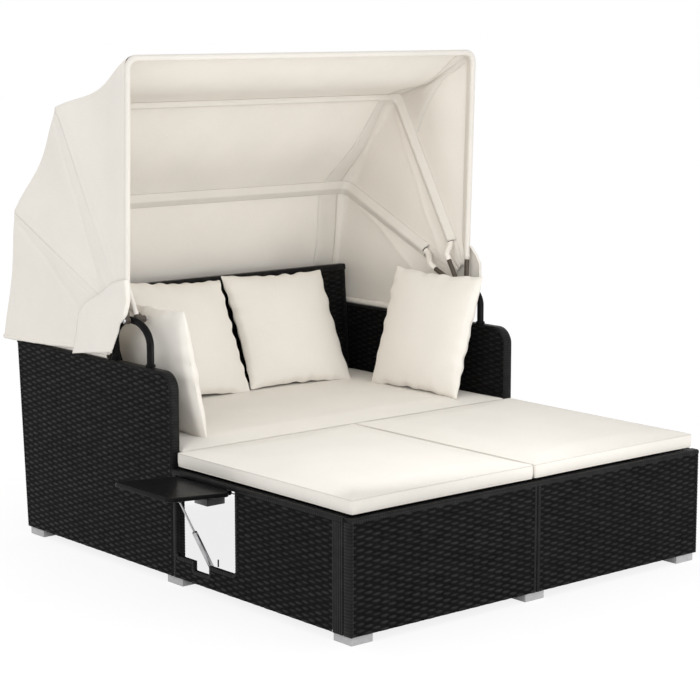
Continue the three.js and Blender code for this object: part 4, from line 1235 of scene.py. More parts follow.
# the hem's height at distances along Y
HEM_HEIGHTS = ((0.25, 0.30, 0.505, 0.628, 0.825, 0.909), (0.650, 0.648, 0.6455, 0.6370, 0.6292, 0.6265))
LEG_STEPS, CORNER_STEPS, BAR_STEPS = 40, 12, 48
CORNER_END = LEG_STEPS + CORNER_STEPS
CORNER_MIDDLE = CORNER_END - CORNER_STEPS / 2
LAST = 2 * (CORNER_END + BAR_STEPS)


def half_line(half, start, reach, corner):
    """Half a hoop as (half width, reach) pairs: up the leg, round the corner, to the bar's middle."""
    leg = np.stack([np.full(LEG_STEPS, half), np.linspace(start, reach - corner, LEG_STEPS + 1)[:-1]], 1)
    turn = arc((half - corner, reach - corner), corner, 0, 90, CORNER_STEPS)
    bar = np.stack([np.linspace(half - corner, 0, BAR_STEPS + 1)[1:], np.full(BAR_STEPS, reach)], 1)
    return np.concatenate([leg, turn, bar])


def mirrored(line):
    """A half line from the right side continued to the left one."""
    left = line[:-1][::-1] * np.array([-1, 1, 1])
    return np.concatenate([line, left])


def hoop_place(x, reach, degrees):
    """A point of a hoop at a distance from the pivot line and an angle above the horizontal."""
    angle = math.radians(degrees)
    return np.stack([x, HUB[1] + reach * math.cos(angle), HUB[2] + reach * math.sin(angle)], -1)


def hoop_normal(hoop):
    """The direction square to a hoop's plane."""
    angle = math.radians(hoop["angle"])
    return 0, -math.sin(angle), math.cos(angle)


def crank_half(hoop, t):
    """A hoop's half width a share t of the way along its crank: an even step t t (3 - 2 t)."""
    return hoop["eye"] + (hoop["half"] - hoop["eye"]) * (t * t * (3 - 2 * t))


def hoop_line(hoop):
    """The line that the cloth follows over a hoop, from its right end to its left one."""
    half = half_line(hoop["half"], CLOTH_START, hoop["reach"], HOOP_CORNER)
    return mirrored(hoop_place(half[:, 0], half[:, 1], hoop["angle"]))


def hem_line():
    """The line of the canopy's lower edge, whose height changes with its distance along Y."""
    half = half_line(HEM["half"], HEM["start"], HEM["rear"], HEM["corner"])
    height = np.interp(half[:, 1], *HEM_HEIGHTS)
    return mirrored(np.stack([half[:, 0], half[:, 1], height], 1))


def hem_bar_size(corner_steps, start):
    """The hem bar's height, and half its line from a start on the arm to its rear corner."""
    low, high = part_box("hem_bar")
    side, rear, corner = high.x - HOOP_RADIUS, high.y - HOOP_RADIUS, HEM["corner"]
    turn = arc((side - corner, rear - corner), corner, 0, 90, corner_steps)
    return (low.z + high.z) / 2, np.concatenate([[[side, start]], turn])


def outward_between(first, second):
    """The outward direction of the cloth stretched between two lines, at each of their points."""
    along = np.gradient(first + second, axis=0)
    return unit(np.cross(second - first, along))


def at_index(line, index):
    """A line's point at a real-numbered index, straight between the whole ones."""
    index = np.clip(index, 0, len(line) - 1)
    low = np.minimum(np.floor(index).astype(int), len(line) - 2)
    part = (index - low)[..., None]
    return line[low] * (1 - part) + line[low + 1] * part


def off_line(points, line):
    """Each 2-D point's distance from a broken line."""
    a, b = line[:-1], line[1:]
    way = b - a
    part = ((points[..., None, :] - a) * way).sum(-1) / (way**2).sum(-1)
    near = a + np.clip(part, 0, 1)[..., None] * way
    return np.linalg.norm(points[..., None, :] - near, axis=-1).min(-1)


def swell(away, height, width):
    """A soft ridge: height exp(-(away / width)^2)."""
    return height * np.exp(-(away / width) ** 2)


# creases behind the middle and the back hoop on the canopy's sides, as (distance from the pivot,
# degrees above the horizontal)
CREASES = {
    1: ((0.672, 57.4), (0.536, 54.5), (0.432, 53.1), (0.305, 46.8), (0.217, 40.9), (0.138, 28.0)),
    2: ((0.645, 22.2), (0.558, 20.6), (0.461, 18.7), (0.363, 13.1), (0.28, 5.8), (0.244, -0.7)),
}
SAGS = (0.078, 0.045, 0.030)
FOLDS = 0.0007  # height of the soft folds
GATHERS = 0.0035  # height of the folds that run to the pivot
# heights and widths of the soft ridges, the widths at the corners counted in steps along the hoop
CREASE_SHARP, CREASE_SOFT = (0.0024, 0.008), (0.002, 0.03)
SEAM_GROOVE = (0.0008, 0.004)
CORNER_RIDGE, CORNER_EAR = (0.0075, 2.6), (0.011, 3.4)
# widths of the doubled cloth beside the corner seams, at a panel's front and at its rear; this cloth is
# darker as painted shade, and the wide bands near the back hoop stand for the shade where the cloth
# turns from roof to side
SHADED_SEAM_BANDS = ((0.014, 0.016), (0.030, 0.090), (0.090, 0.095))
SLEEVE_GAP = 0.0004  # between a tube and its sleeve
FRONT_SLEEVE_START, CRANK_LAP = 0.078, 0.004
FLAT_ENDS, FLAT_SEAMS = 0.05, 0.16  # what the ends, the sleeves and the seams take of a panel's cloth
SOCK_WALL = 0.0009
SOCK_GATHERS = ((0.035, 0.013), (0.02, 0.031))  # shares of the radius, and lengths
SOCK_LOOSE = 0.002  # at its upper end
HEM_SLACK = 0.0016
BAND_GAP = 0.0005  # between a panel and the cloth that doubles it
# where the sleeves' ends start, by side, and how far from the pivots they end
SLEEVE_STARTS = {"left": 0.014, "right": 0.086}
SLEEVE_ENDS = {"middle": (0.0, 0.150), "back": (0.014, 0.216)}
CLIP_GAP = 0.003  # between a sleeve and a clip of the hem bar
# the flap's edges as (Y, Z): front, top, rear and bottom; its front edge lies further forward on the
# right side, by the share in the third column
FLAP_FORWARD = {"left": 0.0, "right": 0.034}
FLAP_FRONT = np.array([
    [0.2095, 0.878, 0], [0.206, 0.848, 0.5], [0.2045, 0.8185, 0.85], [0.2145, 0.7725, 1], [0.240, 0.725, 1],
    [0.2556, 0.7035, 0.9], [0.2793, 0.6663, 0.7], [0.2893, 0.6516, 0.5]])
FLAP_TOP = np.array([[0.2095, 0.878], [0.2436, 0.8708], [0.2862, 0.8577], [0.3407, 0.8252], [0.4064, 0.7953],
                     [0.4631, 0.7516]])
FLAP_REAR = np.array([[0.4631, 0.7516], [0.478, 0.69], [0.4985, 0.6235]])
FLAP_BOTTOM = np.array([[0.35, 0.644], [0.42, 0.635], [0.4985, 0.6235]])
FLAP_PLANE = 0.6986  # distance of the flap's inner face from the middle
BOLT_BULGE = (0.0062, 0.034)
FLAP_CURL = 0.013  # how far the flap's front edge turns in


class DAYBED_OT_canopy_cloth(bpy.types.Operator):
    """Stretches the canopy's cloth from hoop to hoop, with its sleeves, seams and hem"""

    bl_idname = "daybed.canopy_cloth"
    bl_label = "Canopy cloth"

    def execute(self, context):
        self.lines = [hoop_line(hoop) for hoop in HOOPS.values()] + [hem_line()]
        between = [outward_between(a, b) for a, b in zip(self.lines, self.lines[1:])]
        self.outward = [between[0], unit(between[0] + between[1]), unit(between[1] + between[2]), between[2]]
        jobs = (
            ("canopy_front_panel", ("canopy_middle", "canopy_front"), ("front_hoop", "middle_hoop")),
            ("canopy_middle_panel", ("canopy_back", "canopy_middle"), ("middle_hoop", "back_hoop")),
            ("canopy_rear_panel", ("base", "canopy_back"), ("back_hoop", "hem_bar")),
        )
        for number, (node, bodies, rests) in enumerate(jobs):
            self.panel(node, number, bodies, rests)
        for name, side in SIDES.items():
            self.flap(name, side)
            for hoop, (later, end) in SLEEVE_ENDS.items():
                self.sleeve_end(name, side, hoop, SLEEVE_STARTS[name] + later, end)
        self.hem_sleeve()
        return {"FINISHED"}

    def sock(self, name, line, normal, radius, body, rests):
        """A closed tube of cloth drawn over a metal one. Its radius swings with two sets of small
        gathers, share times sin(2 pi run / length)."""
        draw = np.random.default_rng(len(name) + len(line))
        run = run_along(line)
        (short, short_length), (long, long_length) = SOCK_GATHERS
        gathers = 1.02 + short * np.sin(run * 2 * np.pi / short_length + draw.uniform(0, 6))
        gathers = gathers + long * np.sin(run * 2 * np.pi / long_length)
        shell = Shell()
        ring = circle(1.0, 20)
        radius = np.broadcast_to(radius, len(line))
        outer = swept(line, normal, ring[None] * (radius * gathers)[:, None, None])
        inner = swept(line, normal, ring[None] * (radius - SOCK_WALL)[:, None, None])
        shell.grid(outer, round_columns=True)
        shell.grid(inner, round_columns=True, flip=True)
        for end, flip in ((0, False), (-1, True)):
            shell.grid(np.stack([inner[end], outer[end]]), round_columns=True, flip=flip)
        piece = shell.build(name, finish_named("canopy_cloth"))
        give(body, "off_white_cloth", piece)

    def sleeve_end(self, name, side, hoop_name, start, end):
        """The sleeve's end, drawn over the hoop where it bends in beside the arch, and looser towards
        its upper end."""
        hoop = HOOPS[hoop_name]
        reach = np.linspace(start, end, 40)
        first, second = hoop["crank"]
        half = crank_half(hoop, np.clip((reach - first) / (second - first), 0, 1))
        line = hoop_place(side * half, reach, hoop["angle"])
        loose = np.clip((reach - 0.5 * (start + end)) / (0.5 * (end - start)), 0, 1) ** 2
        slack = np.clip((reach - 0.03) / 0.06, 0, 1)
        line[:, 0] -= side * SOCK_LOOSE * loose
        radius = HOOP_RADIUS + 0.0002 + 0.0010 * slack + SOCK_LOOSE * loose
        self.sock(f"{hoop_name}_sleeve_end_{name}", line, hoop_normal(hoop), radius, hoop["body"],
                  f"{hoop_name}_hoop")

    def hem_sleeve(self):
        """The hem's sleeve round the bar behind and beside the canopy, open at the two clips."""
        clip_low, clip_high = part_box("hem_bar_clip_left")
        z, half = hem_bar_size(8, clip_high.y + CLIP_GAP)
        whole = np.concatenate([half, half[::-1] * np.array([-1, 1])])
        lines = {"rear": np.column_stack([whole, np.full(len(whole), z)])}
        for name, side in SIDES.items():
            x = side * half[0, 0]
            lines[name] = np.array([[x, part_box("hem_bar")[0].y + 0.004, z], [x, clip_low.y - CLIP_GAP, z]])
        for name, line in lines.items():
            self.sock(f"hem_sleeve_{name}", resampled(line, 0.006), (0, 0, 1), HOOP_RADIUS + HEM_SLACK,
                      "base", "hem_bar")

    def spot(self, number, index, t, lift):
        """A point of panel number at an index along its lines and a share t of the way across: the
        straight span plus the outward direction times stand-off, relief and lift."""
        first, second = at_index(self.lines[number], index), at_index(self.lines[number + 1], index)
        ways = at_index(self.outward[number], index), at_index(self.outward[number + 1], index)
        t = np.asarray(t)[..., None]
        way = unit(ways[0] * (1 - t) + ways[1] * t)
        base = first + (second - first) * t
        width = np.linalg.norm(second - first, axis=-1)
        height = CLOTH_STANDOFF + self.relief(number, index, t[..., 0], base, width)
        return base + way * (height + lift)[..., None]

    def width(self, number, index):
        """The straight span of a panel at an index along its lines."""
        gap = at_index(self.lines[number + 1], index) - at_index(self.lines[number], index)
        return np.linalg.norm(gap, axis=-1)

    def relief(self, number, index, t, base, width):
        """Minus a sag of share times width squared over the widest span times sin(pi t)^2, plus soft
        seeded folds, gathers at the pivot and the ridges over the hoops' corners, less the grooves of
        the sleeve's seams and of the creases on the sides."""
        hollow = np.sin(np.pi * t) ** 2
        widest = np.linalg.norm(self.lines[number + 1] - self.lines[number], axis=1).max()
        height = -SAGS[number] * width**2 / widest * hollow
        draw = np.random.default_rng(20 + number)
        folds = np.zeros(np.broadcast(index, t).shape)
        for _ in range(6):
            turns = draw.uniform(2.5, 9) * index / LAST
            folds += np.sin(turns * 2 * np.pi + draw.uniform(-4, 4) * t + draw.uniform(0, 6.28))
        height = height + FOLDS * folds * hollow
        reach = np.hypot(base[..., 1] - HUB[1], base[..., 2] - HUB[2])
        side = np.clip((np.abs(base[..., 0]) - HOOPS["middle"]["half"] + 0.05) / 0.03, 0, 1)
        gather = np.clip(1 - reach / 0.30, 0, 1) ** 2 * side
        height = height + GATHERS * gather * np.sin(5 * np.pi * t + 9 * reach) * hollow
        if number in CREASES:
            line = np.array([[r * math.cos(math.radians(a)), r * math.sin(math.radians(a))]
                             for r, a in CREASES[number]])
            away = off_line(base[..., 1:] - HUB[1:], line)
            height = height - side * (swell(away, *CREASE_SHARP) + swell(away, *CREASE_SOFT))
        corner = np.minimum(index, LAST - index) - CORNER_MIDDLE
        height = height + swell(corner, *CORNER_RIDGE) * (0.35 + 0.65 * hollow)
        to_middle_hoop = (t, 1 - t, np.zeros_like(t))[number] ** 4
        height = height + swell(corner, *CORNER_EAR) * to_middle_hoop
        for hoop, share in zip(list(HOOPS.values())[number:number + 2], (t, 1 - t)):
            height = height - swell(share * width - hoop["sleeve"][0], *SEAM_GROOVE)
        return height

    def panel(self, node, number, bodies, rests):
        """The panel's two faces, the sleeve halves round its hoops, the doubled cloth beside its corner seams
        and, on the last one, the rolled hem. The sleeves and that cloth take a darker copy of the canopy
        cloth as painted shade."""
        index = np.arange(LAST + 1.0)
        rows, columns = np.meshgrid(index, np.linspace(0, 1, 61), indexing="ij")
        shell = Shell()
        self.slab(shell, self.spot(number, rows, columns, 0.0),
                  self.spot(number, rows, columns, sizes().cloth_thickness))
        # the sleeves and the bands beside the seams take the second, darker cloth: painted shade
        shell.mark = 1
        for name, first in zip(list(HOOPS)[number:number + 2], (True, False)):
            self.half_sleeve(shell, number, name, first)
        self.shaded_seam_bands(shell, number)
        shell.mark = 0
        if number == 2:
            self.rolled_hem(shell)
        cloths = (finish_named("canopy_cloth"), finish_named("canopy_cloth_doubled"))
        piece = shell.build(node + "_cloth", cloths)
        first, second = self.lines[number:number + 2]
        flat = (round(float(run_along(first)[-1]) + FLAT_ENDS, 3),
                round(float(self.width(number, index).max()) + FLAT_SEAMS, 3))
        list(rests)
        middle = LAST // 2
        Vector(second[middle])
        Vector(first[middle])
        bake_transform(piece)
        self.share_by_distance(piece, number)
        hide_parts(node)

    def slab(self, shell, inner, outer):
        """A closed sheet from its inner and outer grids."""
        shell.grid(inner, flip=True)
        shell.grid(outer)
        for a, b in ((inner[0], outer[0]), (outer[-1], inner[-1]), (outer[:, 0], inner[:, 0]),
                     (inner[:, -1], outer[:, -1])):
            shell.grid(np.stack([a, b]))

    def half_sleeve(self, shell, number, name, first):
        """Half of the pocket round a hoop: from under the tube (or, on the front hoop, from over it and
        round its front) along the tangent to the seam line on the panel's inner face. The section is
        worked out in the plane of the outward direction and the panel's own direction."""
        hoop = HOOPS[name]
        own, other = (number, number + 1) if first else (number + 1, number)
        line, outward = self.lines[own], self.outward[own]
        begin = (hoop["crank"][1] - CRANK_LAP) if hoop["crank"] else FRONT_SLEEVE_START
        leg = (hoop["reach"] - HOOP_CORNER - CLOTH_START) / LEG_STEPS
        skipped = math.ceil((begin - CLOTH_START) / leg)
        index = np.arange(skipped, LAST + 1 - skipped)
        centre = line[index]
        tangent = unit(np.gradient(line, axis=0)[index])
        out = unit(outward[index] - (outward[index] * tangent).sum(1)[:, None] * tangent)
        way = self.lines[other][index] - centre
        along = unit(way - (way * tangent).sum(1)[:, None] * tangent - (way * out).sum(1)[:, None] * out)
        width = self.width(number, index)
        on_bar = np.clip((np.minimum(index, LAST - index) - CORNER_END + 6) / 6, 0, 1)
        on_leg, on_top = hoop["sleeve"]
        share = np.minimum(on_leg + (on_top - on_leg) * on_bar, 0.42 * width) / width
        start, turns = (-269.0, 22) if name == "front" else (-90.0, 5)
        start = np.radians(start)
        layers = []
        for lift in (0, sizes().cloth_thickness):
            radius = HOOP_RADIUS + SLEEVE_GAP + lift
            seam = self.spot(number, index.astype(float), share if first else 1 - share, -BAND_GAP - lift)
            gap = seam - centre
            a, b = (gap * along).sum(1), (gap * out).sum(1)
            touch = np.arctan2(b, a) - np.arccos(np.clip(radius / np.hypot(a, b), -1, 1))
            angle = start + (touch - start)[:, None] * np.linspace(0, 1, turns)
            ring = (centre[:, None] + radius * np.cos(angle)[..., None] * along[:, None]
                    + radius * np.sin(angle)[..., None] * out[:, None])
            step = np.linspace(0, 1, 7)[1:, None]
            straight = ring[:, -1:] + (seam[:, None] - ring[:, -1:]) * step
            layers.append(np.concatenate([ring, straight], 1))
        self.slab(shell, *(layers[::-1] if first else layers))

    def shaded_seam_bands(self, shell, number):
        """The doubled cloth beside each corner seam, on the inner face, running from hoop to hoop on
        the roof's side of the seam, and on the front panel also on its other side. It takes the darker
        cloth as painted shade; the patch on the front panel's other side stands only for the shade on that
        facet."""
        start_width, end_width = SHADED_SEAM_BANDS[number]
        bar = (HOOPS["middle"]["half"] - HOOP_CORNER) / BAR_STEPS
        t = np.linspace(0.03, 0.97, 40)
        spread = (start_width + (end_width - start_width) * t) / bar
        shares = np.linspace(0, 1, 7)[:, None]
        bands = [CORNER_END - 0.5 + shares * spread]
        if number == 0:
            bands.append((CORNER_MIDDLE - shares * (2 + 13 * t))[::-1])
        for band in bands:
            for index in (band, LAST - band[::-1]):
                across = np.broadcast_to(t, index.shape)
                self.slab(shell, self.spot(number, index, across, -BAND_GAP - sizes().cloth_thickness),
                          self.spot(number, index, across, -BAND_GAP))

    def rolled_hem(self, shell):
        """The hem, rolled into a soft tube along the panel's lower edge behind the flaps."""
        low = self.spot(2, np.arange(LAST + 1.0), np.ones(LAST + 1), 0.0006)
        line = low[low[:, 1] > 0.30]
        ring = circle(1.0, 14)
        steps = np.arange(len(line))
        wobble = 1 + 0.06 * np.sin(steps * 0.9) + 0.04 * np.sin(steps * 2.3)
        tangent = directions(line)
        side = unit(np.cross(tangent, (0, 0, 1.0)))
        up = np.cross(side, tangent)
        size = (HEM_ROLL * wobble)[:, None, None]
        points = line[:, None] + size * (ring[:, :1] * side[:, None] * 0.8 + ring[:, 1:] * up[:, None])
        shell.grid(points, round_columns=True)
        shell.caps(points)

    def flap(self, name, side):
        """The doubled flap over the pivot: a patch between a front, a top, a rear and a bottom edge
        (the sum of the two straight blends less the corners' bilinear one), bulged over the bolt, its
        front edge turned in."""
        forward = FLAP_FORWARD[name]
        front = FLAP_FRONT[:, :2].copy()
        front[:, 0] -= forward * FLAP_FRONT[:, 2]
        top, rear, bottom = FLAP_TOP, FLAP_REAR, np.concatenate([front[-1:], FLAP_BOTTOM])
        s, t = np.meshgrid(np.linspace(0, 1, 34), np.linspace(0, 1, 34), indexing="ij")

        def along(edge, where):
            """Points of an edge at shares of its length."""
            lengths = run_along(edge)
            return np.stack([np.interp(where * lengths[-1], lengths, edge[:, k]) for k in (0, 1)], -1)

        s1, t1 = s[..., None], t[..., None]
        flat = ((1 - t1) * along(top, s) + t1 * along(bottom, s)
                + (1 - s1) * along(front, t) + s1 * along(rear, t)
                - (1 - s1) * (1 - t1) * top[0] - s1 * (1 - t1) * top[-1] - (1 - s1) * t1 * bottom[0]
                - s1 * t1 * bottom[-1])
        hub = np.hypot(flat[..., 0] - HUB[1], flat[..., 1] - HUB[2])
        draw = np.random.default_rng(30 + side)
        folds = 0.0009 * np.sin(9 * s + 5 * t + draw.uniform(0, 6)) + 0.0006 * np.sin(17 * s - 8 * t)
        bulge = swell(hub, *BOLT_BULGE) + folds + 0.5 * forward * (1 - s) ** 3 * np.sin(np.pi * t) ** 0.7
        curl = np.linspace(1, 0, 8)[:-1, None]
        turned_in = FLAP_CURL * np.clip((flat[0, :, 1] - 0.740) / 0.03, 0.02, 1)[None]
        grids = []
        for lift in (0.0, sizes().cloth_thickness):
            face = np.stack([FLAP_PLANE + bulge + lift, flat[..., 0], flat[..., 1]], -1)
            edge = np.broadcast_to(face[:1], (len(curl), *face.shape[1:])).copy()
            edge[..., 0] -= turned_in * curl
            edge[..., 1] -= 0.0035 * np.sin(np.pi * curl * 0.5) * (turned_in > 0.004)
            grids.append(np.concatenate([edge, face]) * np.array([side, 1, 1]))
        shell = Shell()
        self.slab(shell, *grids[::-side])
        piece = shell.build(f"canopy_flap_{name}", finish_named("canopy_cloth"))
        give("base", "off_white_cloth", piece)

    def share_by_distance(self, piece, number):
        """Works out the gaps from each point to the panel's two lines, and keeps nothing: the points go
        with no body."""
        points = mesh_points(piece.data)
        for line in self.lines[number:number + 2]:
            gaps = points[:, None] - resampled(line, 0.02)[None]

    def half_surface(self, piece):
        """Half of a closed sheet's surface, which is the area of its cloth."""
        return float(sum(face.area for face in piece.data.polygons)) / 2


# Profiles of turned pieces, as (radius, height) pairs
HOOP_EYE = [[0.0044, -0.008], [0.0104, -0.008], [0.011, -0.0074], [0.011, 0.0074], [0.0104, 0.008],
            [0.0044, 0.008]]
ARCH_COLLAR = [[0.0, 0.0], [0.0142, 0.0], [0.015, 0.0008], [0.015, 0.0058], [0.0133, 0.008],
               [0.0118, 0.0082], [0.0, 0.0082]]
# the bolt's last six heights are measured back from the top of its head
BOLT = [[0, 0], [0.0034, 0], [0.004, 0.0006], [0.004, -0.006], [0.008, -0.006], [0.008, -0.0038],
        [0.0068, -0.0015], [0.0042, -0.0003], [0, 0]]
ARCH = {"foot": 0.625, "leg": 0.062, "span": 0.182, "radius": 0.011, "lift": 0.0003}


def both_sides(line):
    """A line on the right side continued to its mirror image on the left one."""
    return np.concatenate([line, line[::-1] * np.array([-1, 1, 1])])


def metal_piece(shell, name, finish, body, node, sharp=40, slot=None):
    """Builds a metal piece that rides on a body and stands for a CAD node."""
    give(body, slot or finish, shell.build(name, finish_named(finish), sharp=sharp), node)


class DAYBED_OT_canopy_frame(bpy.types.Operator):
    """Bends the hoops, the hem bar and the arches from smooth tube"""

    bl_idname = "daybed.canopy_frame"
    bl_label = "Canopy frame"

    def execute(self, context):
        for name, hoop in HOOPS.items():
            self.hoop(name, hoop)
        self.hem_bar()
        for name, side in SIDES.items():
            self.arch(name, side)
            self.bolt(name, side)
        return {"FINISHED"}

    def hoop(self, name, hoop):
        """A U of tube with flattened eyes at its ends, cranked where it steps beside the arch."""
        parts = [[[hoop["eye"], 0.006]]]
        if hoop["crank"]:
            first, second = hoop["crank"]
            t = np.linspace(0, 1, 9)
            parts.append(np.stack([crank_half(hoop, t), first + (second - first) * t], 1))
        corner = (hoop["half"] - HOOP_CORNER, hoop["reach"] - HOOP_CORNER)
        half = np.concatenate([*parts, arc(corner, HOOP_CORNER, 0, 90, 14)])
        line = hoop_place(half[:, 0], half[:, 1], hoop["angle"])
        shell = Shell()
        tube(shell, both_sides(line), hoop_normal(hoop), HOOP_RADIUS)
        for side in SIDES.values():
            turned(shell, HOOP_EYE, HUB + np.array([side * hoop["eye"], 0, 0]), (1, 0, 0), 28, ring=True)
        metal_piece(shell, f"{name}_hoop_tube", "bronze_tube", hoop["body"], f"{name}_hoop")

    def hem_bar(self):
        """A tube along both arms and behind the back, with round corners."""
        z, half = hem_bar_size(12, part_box("hem_bar")[0].y)
        shell = Shell()
        tube(shell, both_sides(np.column_stack([half, np.full(len(half), z)])), (0, 0, 1), HOOP_RADIUS)
        metal_piece(shell, "hem_bar_tube", "bronze_tube", "base", "hem_bar")

    def arch(self, name, side):
        """An arch of tube: straight legs and half an ellipse over them, with a collar at each foot."""
        low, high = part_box(f"canopy_arch_{name}")
        x = (low.x + high.x) / 2
        half_span, spring, foot = ARCH["span"] / 2, ARCH["foot"] + ARCH["leg"], ARCH["foot"] + ARCH["lift"]
        t = np.radians(np.linspace(180, 0, 33))
        top = np.stack([HUB[1] + half_span * np.cos(t), spring + (HUB[2] - spring) * np.sin(t)], 1)
        path = np.concatenate([[[top[0, 0], foot]], top, [[top[-1, 0], foot]]])
        shell = Shell()
        tube(shell, at_x(path, x), (1, 0, 0), ARCH["radius"])
        for y in (HUB[1] - half_span, HUB[1] + half_span):
            turned(shell, ARCH_COLLAR, (x, y, foot), (0, 0, 1), 32)
        metal_piece(shell, f"canopy_arch_{name}_tube", "black_steel", "base", f"canopy_arch_{name}", sharp=35)

    def bolt(self, name, side):
        """The pivot bolt: its shank, turned up to its washer face and domed head."""
        low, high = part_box(f"pivot_bolt_{name}")
        length = high.x - low.x
        start = low.x if side > 0 else high.x
        profile = [[radius, height if number < 3 else length + height]
                   for number, (radius, height) in enumerate(BOLT)]
        shell = Shell()
        turned(shell, profile, (start, HUB[1], HUB[2]), (side, 0, 0), 28)
        metal_piece(shell, f"pivot_bolt_{name}_turned", "zinc", "base", f"pivot_bolt_{name}")


# Side tables, struts and feet


TABLE_HINGE = (0.6835, -0.1605, 0.322)  # of the right table; the left one's is mirrored
TABLE_ANGLES = {"left": 4, "right": -90}  # above the horizontal, in degrees
TABLE = {"start": 0.012, "length": 0.2265, "half": 0.1355, "corner": 0.020, "thick": 0.0065}
# the plate's rings from its underside up: how far each is drawn in, which face it is near, and how far
# below or above that face it lies
TABLE_RINGS = (
    (0.0022, -1, 0.0), (0.0007, -1, 0.0007), (0, -1, 0.0022), (0, 1, -0.0022), (0.0007, 1, -0.0007),
    (0.0022, 1, 0.0), (0.0060, 1, 0.0), (0.0068, 1, -0.0012))
HINGE_RADIUS, KNUCKLE_GAP = 0.006, 0.021
STRUT_FOOT = (0.663, -0.161, 0.073)
STRUT_HEAD = (0.0925, -0.0345)  # from the hinge, outwards and upwards as the table lies
STRUT_EYE = [[0.0028, -0.003], [0.0052, -0.003], [0.0055, -0.0027], [0.0055, 0.0027], [0.0052, 0.003],
             [0.0028, 0.003]]
STRUT_NECK = [[0, 0.0045], [0.0036, 0.0045], [0.0036, 0.0103], [0, 0.0103]]
STRUT_CYLINDER = [
    [0, 0.010], [0.0062, 0.010], [0.0072, 0.0108], [0.0075, 0.012], [0.0075, 0.1285], [0.0071, 0.1292],
    [0.0071, 0.1306], [0.0075, 0.1313], [0.0075, 0.1352], [0.0066, 0.137], [0.0034, 0.137],
    [0.0034, 0.020], [0, 0.020]]
STRUT_ROD = [[0, 0.0045], [0.003, 0.0045], [0.003, 0.1335], [0.0026, 0.134], [0, 0.134]]
FOOT_EDGE = 0.0018


class DAYBED_OT_tables(bpy.types.Operator):
    """Makes the fold-up tables and their gas struts"""

    bl_idname = "daybed.tables"
    bl_label = "Side tables"

    def execute(self, context):
        for name, side in SIDES.items():
            tilt = math.radians(TABLE_ANGLES[name])
            hinge = np.array(TABLE_HINGE) * (side, 1, 1)
            out = np.array([side * math.cos(tilt), 0, math.sin(tilt)])
            up = np.array([-side * math.sin(tilt), 0, math.cos(tilt)])
            self.table(name, hinge, out, up)
            self.strut(name, side, hinge + STRUT_HEAD[0] * out + STRUT_HEAD[1] * up)
        return {"FINISHED"}

    def table(self, name, hinge, out, up):
        """A plate with round corners and softened edges, a raised lip round its top, the strip that
        joins it to its hinge, and the hinge's barrel."""
        start, length, half, corner, thick = TABLE.values()

        def outline(inset):
            """The plate's outline drawn in by an inset, corner by corner."""
            r = corner - inset
            near, far, wide = start + corner, length - corner, half - corner
            return np.concatenate([arc((x, y), r, turn, turn + 90, 8) for x, y, turn in (
                (near, -wide, 180), (far, -wide, -90), (far, wide, 0), (near, wide, 90))])

        def place(loop, height):
            """Points (out, along Y) of the table, at a height over its middle plane."""
            return hinge + loop[:, :1] * out + loop[:, 1:] * np.array([0, 1, 0]) + height * up

        shell = Shell()
        points = np.stack([place(outline(inset), face * thick + step) for inset, face, step in TABLE_RINGS])
        shell.grid(points, round_columns=True)
        shell.caps(points)
        knuckle = half - KNUCKLE_GAP
        r = HINGE_RADIUS
        strip = np.array([[0.0, -r], [start + 0.002, -r], [start + 0.002, r], [0.0, r]])
        walls = np.stack([hinge + strip[:, :1] * out + strip[:, 1:] * up + np.array([0, y, 0])
                          for y in (-knuckle, knuckle)])
        shell.grid(walls, round_columns=True)
        shell.caps(walls)
        barrel = [[0.0024, -knuckle], [r - 0.0004, -knuckle], [r, -knuckle + 0.0004],
                  [r, knuckle - 0.0004], [r - 0.0004, knuckle], [0.0024, knuckle]]
        turned(shell, barrel, hinge, (0, 1, 0), 28, ring=True)
        metal_piece(shell, f"side_table_{name}_plate", "table_plate", f"table_{name}", f"side_table_{name}",
                    sharp=35, slot="black_steel")

    def strut(self, name, side, head):
        """A gas strut: the cylinder with its rolled lip, and the rod, both in zinc."""
        foot = np.array(STRUT_FOOT) * (side, 1, 1)
        head[1] = foot[1]
        axis = unit(head - foot)
        body = Shell()
        turned(body, STRUT_CYLINDER, foot, axis, 28)
        turned(body, STRUT_EYE, foot, (0, 1, 0), 24, ring=True)
        turned(body, STRUT_NECK, foot, axis, 20)
        node = f"strut_cylinder_{name}"
        metal_piece(body, node + "_turned", "zinc", f"cylinder_{name}", node)
        rod = Shell()
        turned(rod, STRUT_ROD, head, -axis, 24)
        turned(rod, STRUT_EYE, head, (0, 1, 0), 24, ring=True)
        node = f"strut_rod_{name}"
        metal_piece(rod, node + "_turned", "zinc", f"rod_{name}", node)


class DAYBED_OT_feet(bpy.types.Operator):
    """Makes the nine grey feet with softened edges"""

    bl_idname = "daybed.feet"
    bl_label = "Feet"

    def execute(self, context):
        for row in ("front", "center", "rear"):
            for column in ("left", "middle", "right"):
                node = f"foot_{row}_{column}"
                low, high = (np.array(corner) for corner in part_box(node))
                points, quads = rounded_box((high - low) / 2, FOOT_EDGE)
                shell = Shell()
                shell.add(points + (low + high) / 2, quads, flat_coordinates(points, quads))
                metal_piece(shell, node + "_pad", "foot_grey", "base", node, sharp=60, slot="grey_feet")
        return {"FINISHED"}


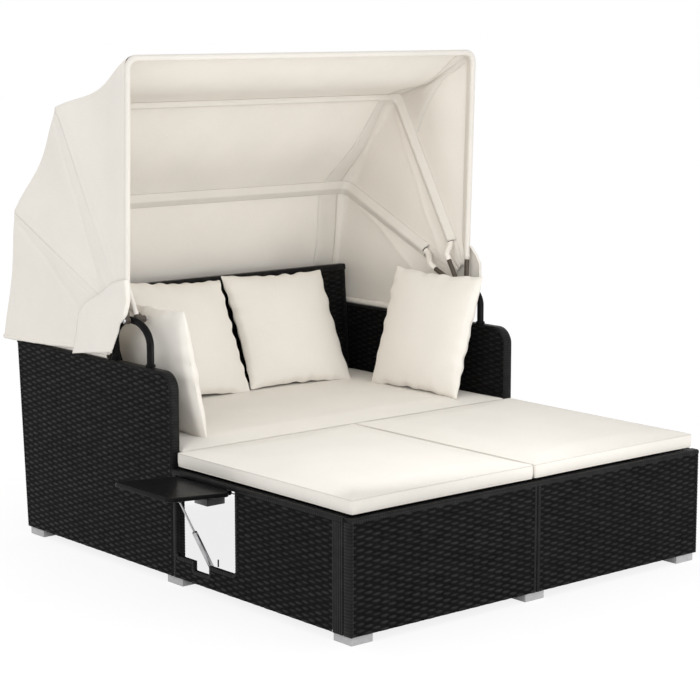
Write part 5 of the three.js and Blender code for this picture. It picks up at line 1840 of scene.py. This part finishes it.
class DAYBED_OT_hardware(bpy.types.Operator):
    """Gives the steel parts that stay as they are their finishes"""

    bl_idname = "daybed.hardware"
    bl_label = "Steel parts"

    def execute(self, context):
        steel = ["middle_rail", "center_leg", "front_center_beam", "rear_center_beam", "deck_front_left",
                 "deck_front_right", "deck_rear"]
        bright = []
        for name in SIDES:
            steel += [f"strut_head_bracket_{name}", f"strut_foot_bracket_{name}", f"catch_pin_{name}",
                      f"hem_bar_clip_{name}"]
            bright += [f"hinge_pin_{name}", f"pivot_nut_{name}"]
        for nodes, finish in ((steel, "black_steel"), (bright, "zinc")):
            for node in nodes:
                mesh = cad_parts[node].data
                mesh.materials.clear()
                mesh.materials.append(finish_named(finish))
        return {"FINISHED"}


class DAYBED_PT_panel(bpy.types.Panel):
    """Lists the daybed's steps, sizes and colours"""

    bl_label = "Daybed"
    bl_idname = "DAYBED_PT_panel"
    bl_space_type = "VIEW_3D"
    bl_region_type = "UI"
    bl_category = "Daybed"

    def draw(self, context):
        column = self.layout.column()
        for operator in OPERATORS:
            column.operator(operator.bl_idname)
        for group in (sizes(), colours()):
            for name in group.__annotations__:
                column.prop(group, name)


OPERATORS = (
    DAYBED_OT_stage, DAYBED_OT_canopy_cloth, DAYBED_OT_seat_cushions, DAYBED_OT_pillows,
    DAYBED_OT_canopy_frame, DAYBED_OT_wicker, DAYBED_OT_tables, DAYBED_OT_feet, DAYBED_OT_hardware,
)
GROUPS = (DaybedSizes, DaybedColours)


def register():
    """Makes the classes and the scene's sizes and colours known."""
    for item in (*GROUPS, *OPERATORS, DAYBED_PT_panel):
        bpy.utils.register_class(item)
    bpy.types.Scene.daybed_sizes = PointerProperty(type=DaybedSizes)
    bpy.types.Scene.daybed_colours = PointerProperty(type=DaybedColours)


def unregister():
    """Takes back what register made known."""
    del bpy.types.Scene.daybed_colours
    del bpy.types.Scene.daybed_sizes
    for item in (DAYBED_PT_panel, *reversed(OPERATORS), *reversed(GROUPS)):
        bpy.utils.unregister_class(item)


def main():
    """Runs the steps in order."""
    register()
    for operator in OPERATORS:
        group, name = operator.bl_idname.split(".")
        getattr(getattr(bpy.ops, group), name)()


if __name__ == "__main__":
    main()
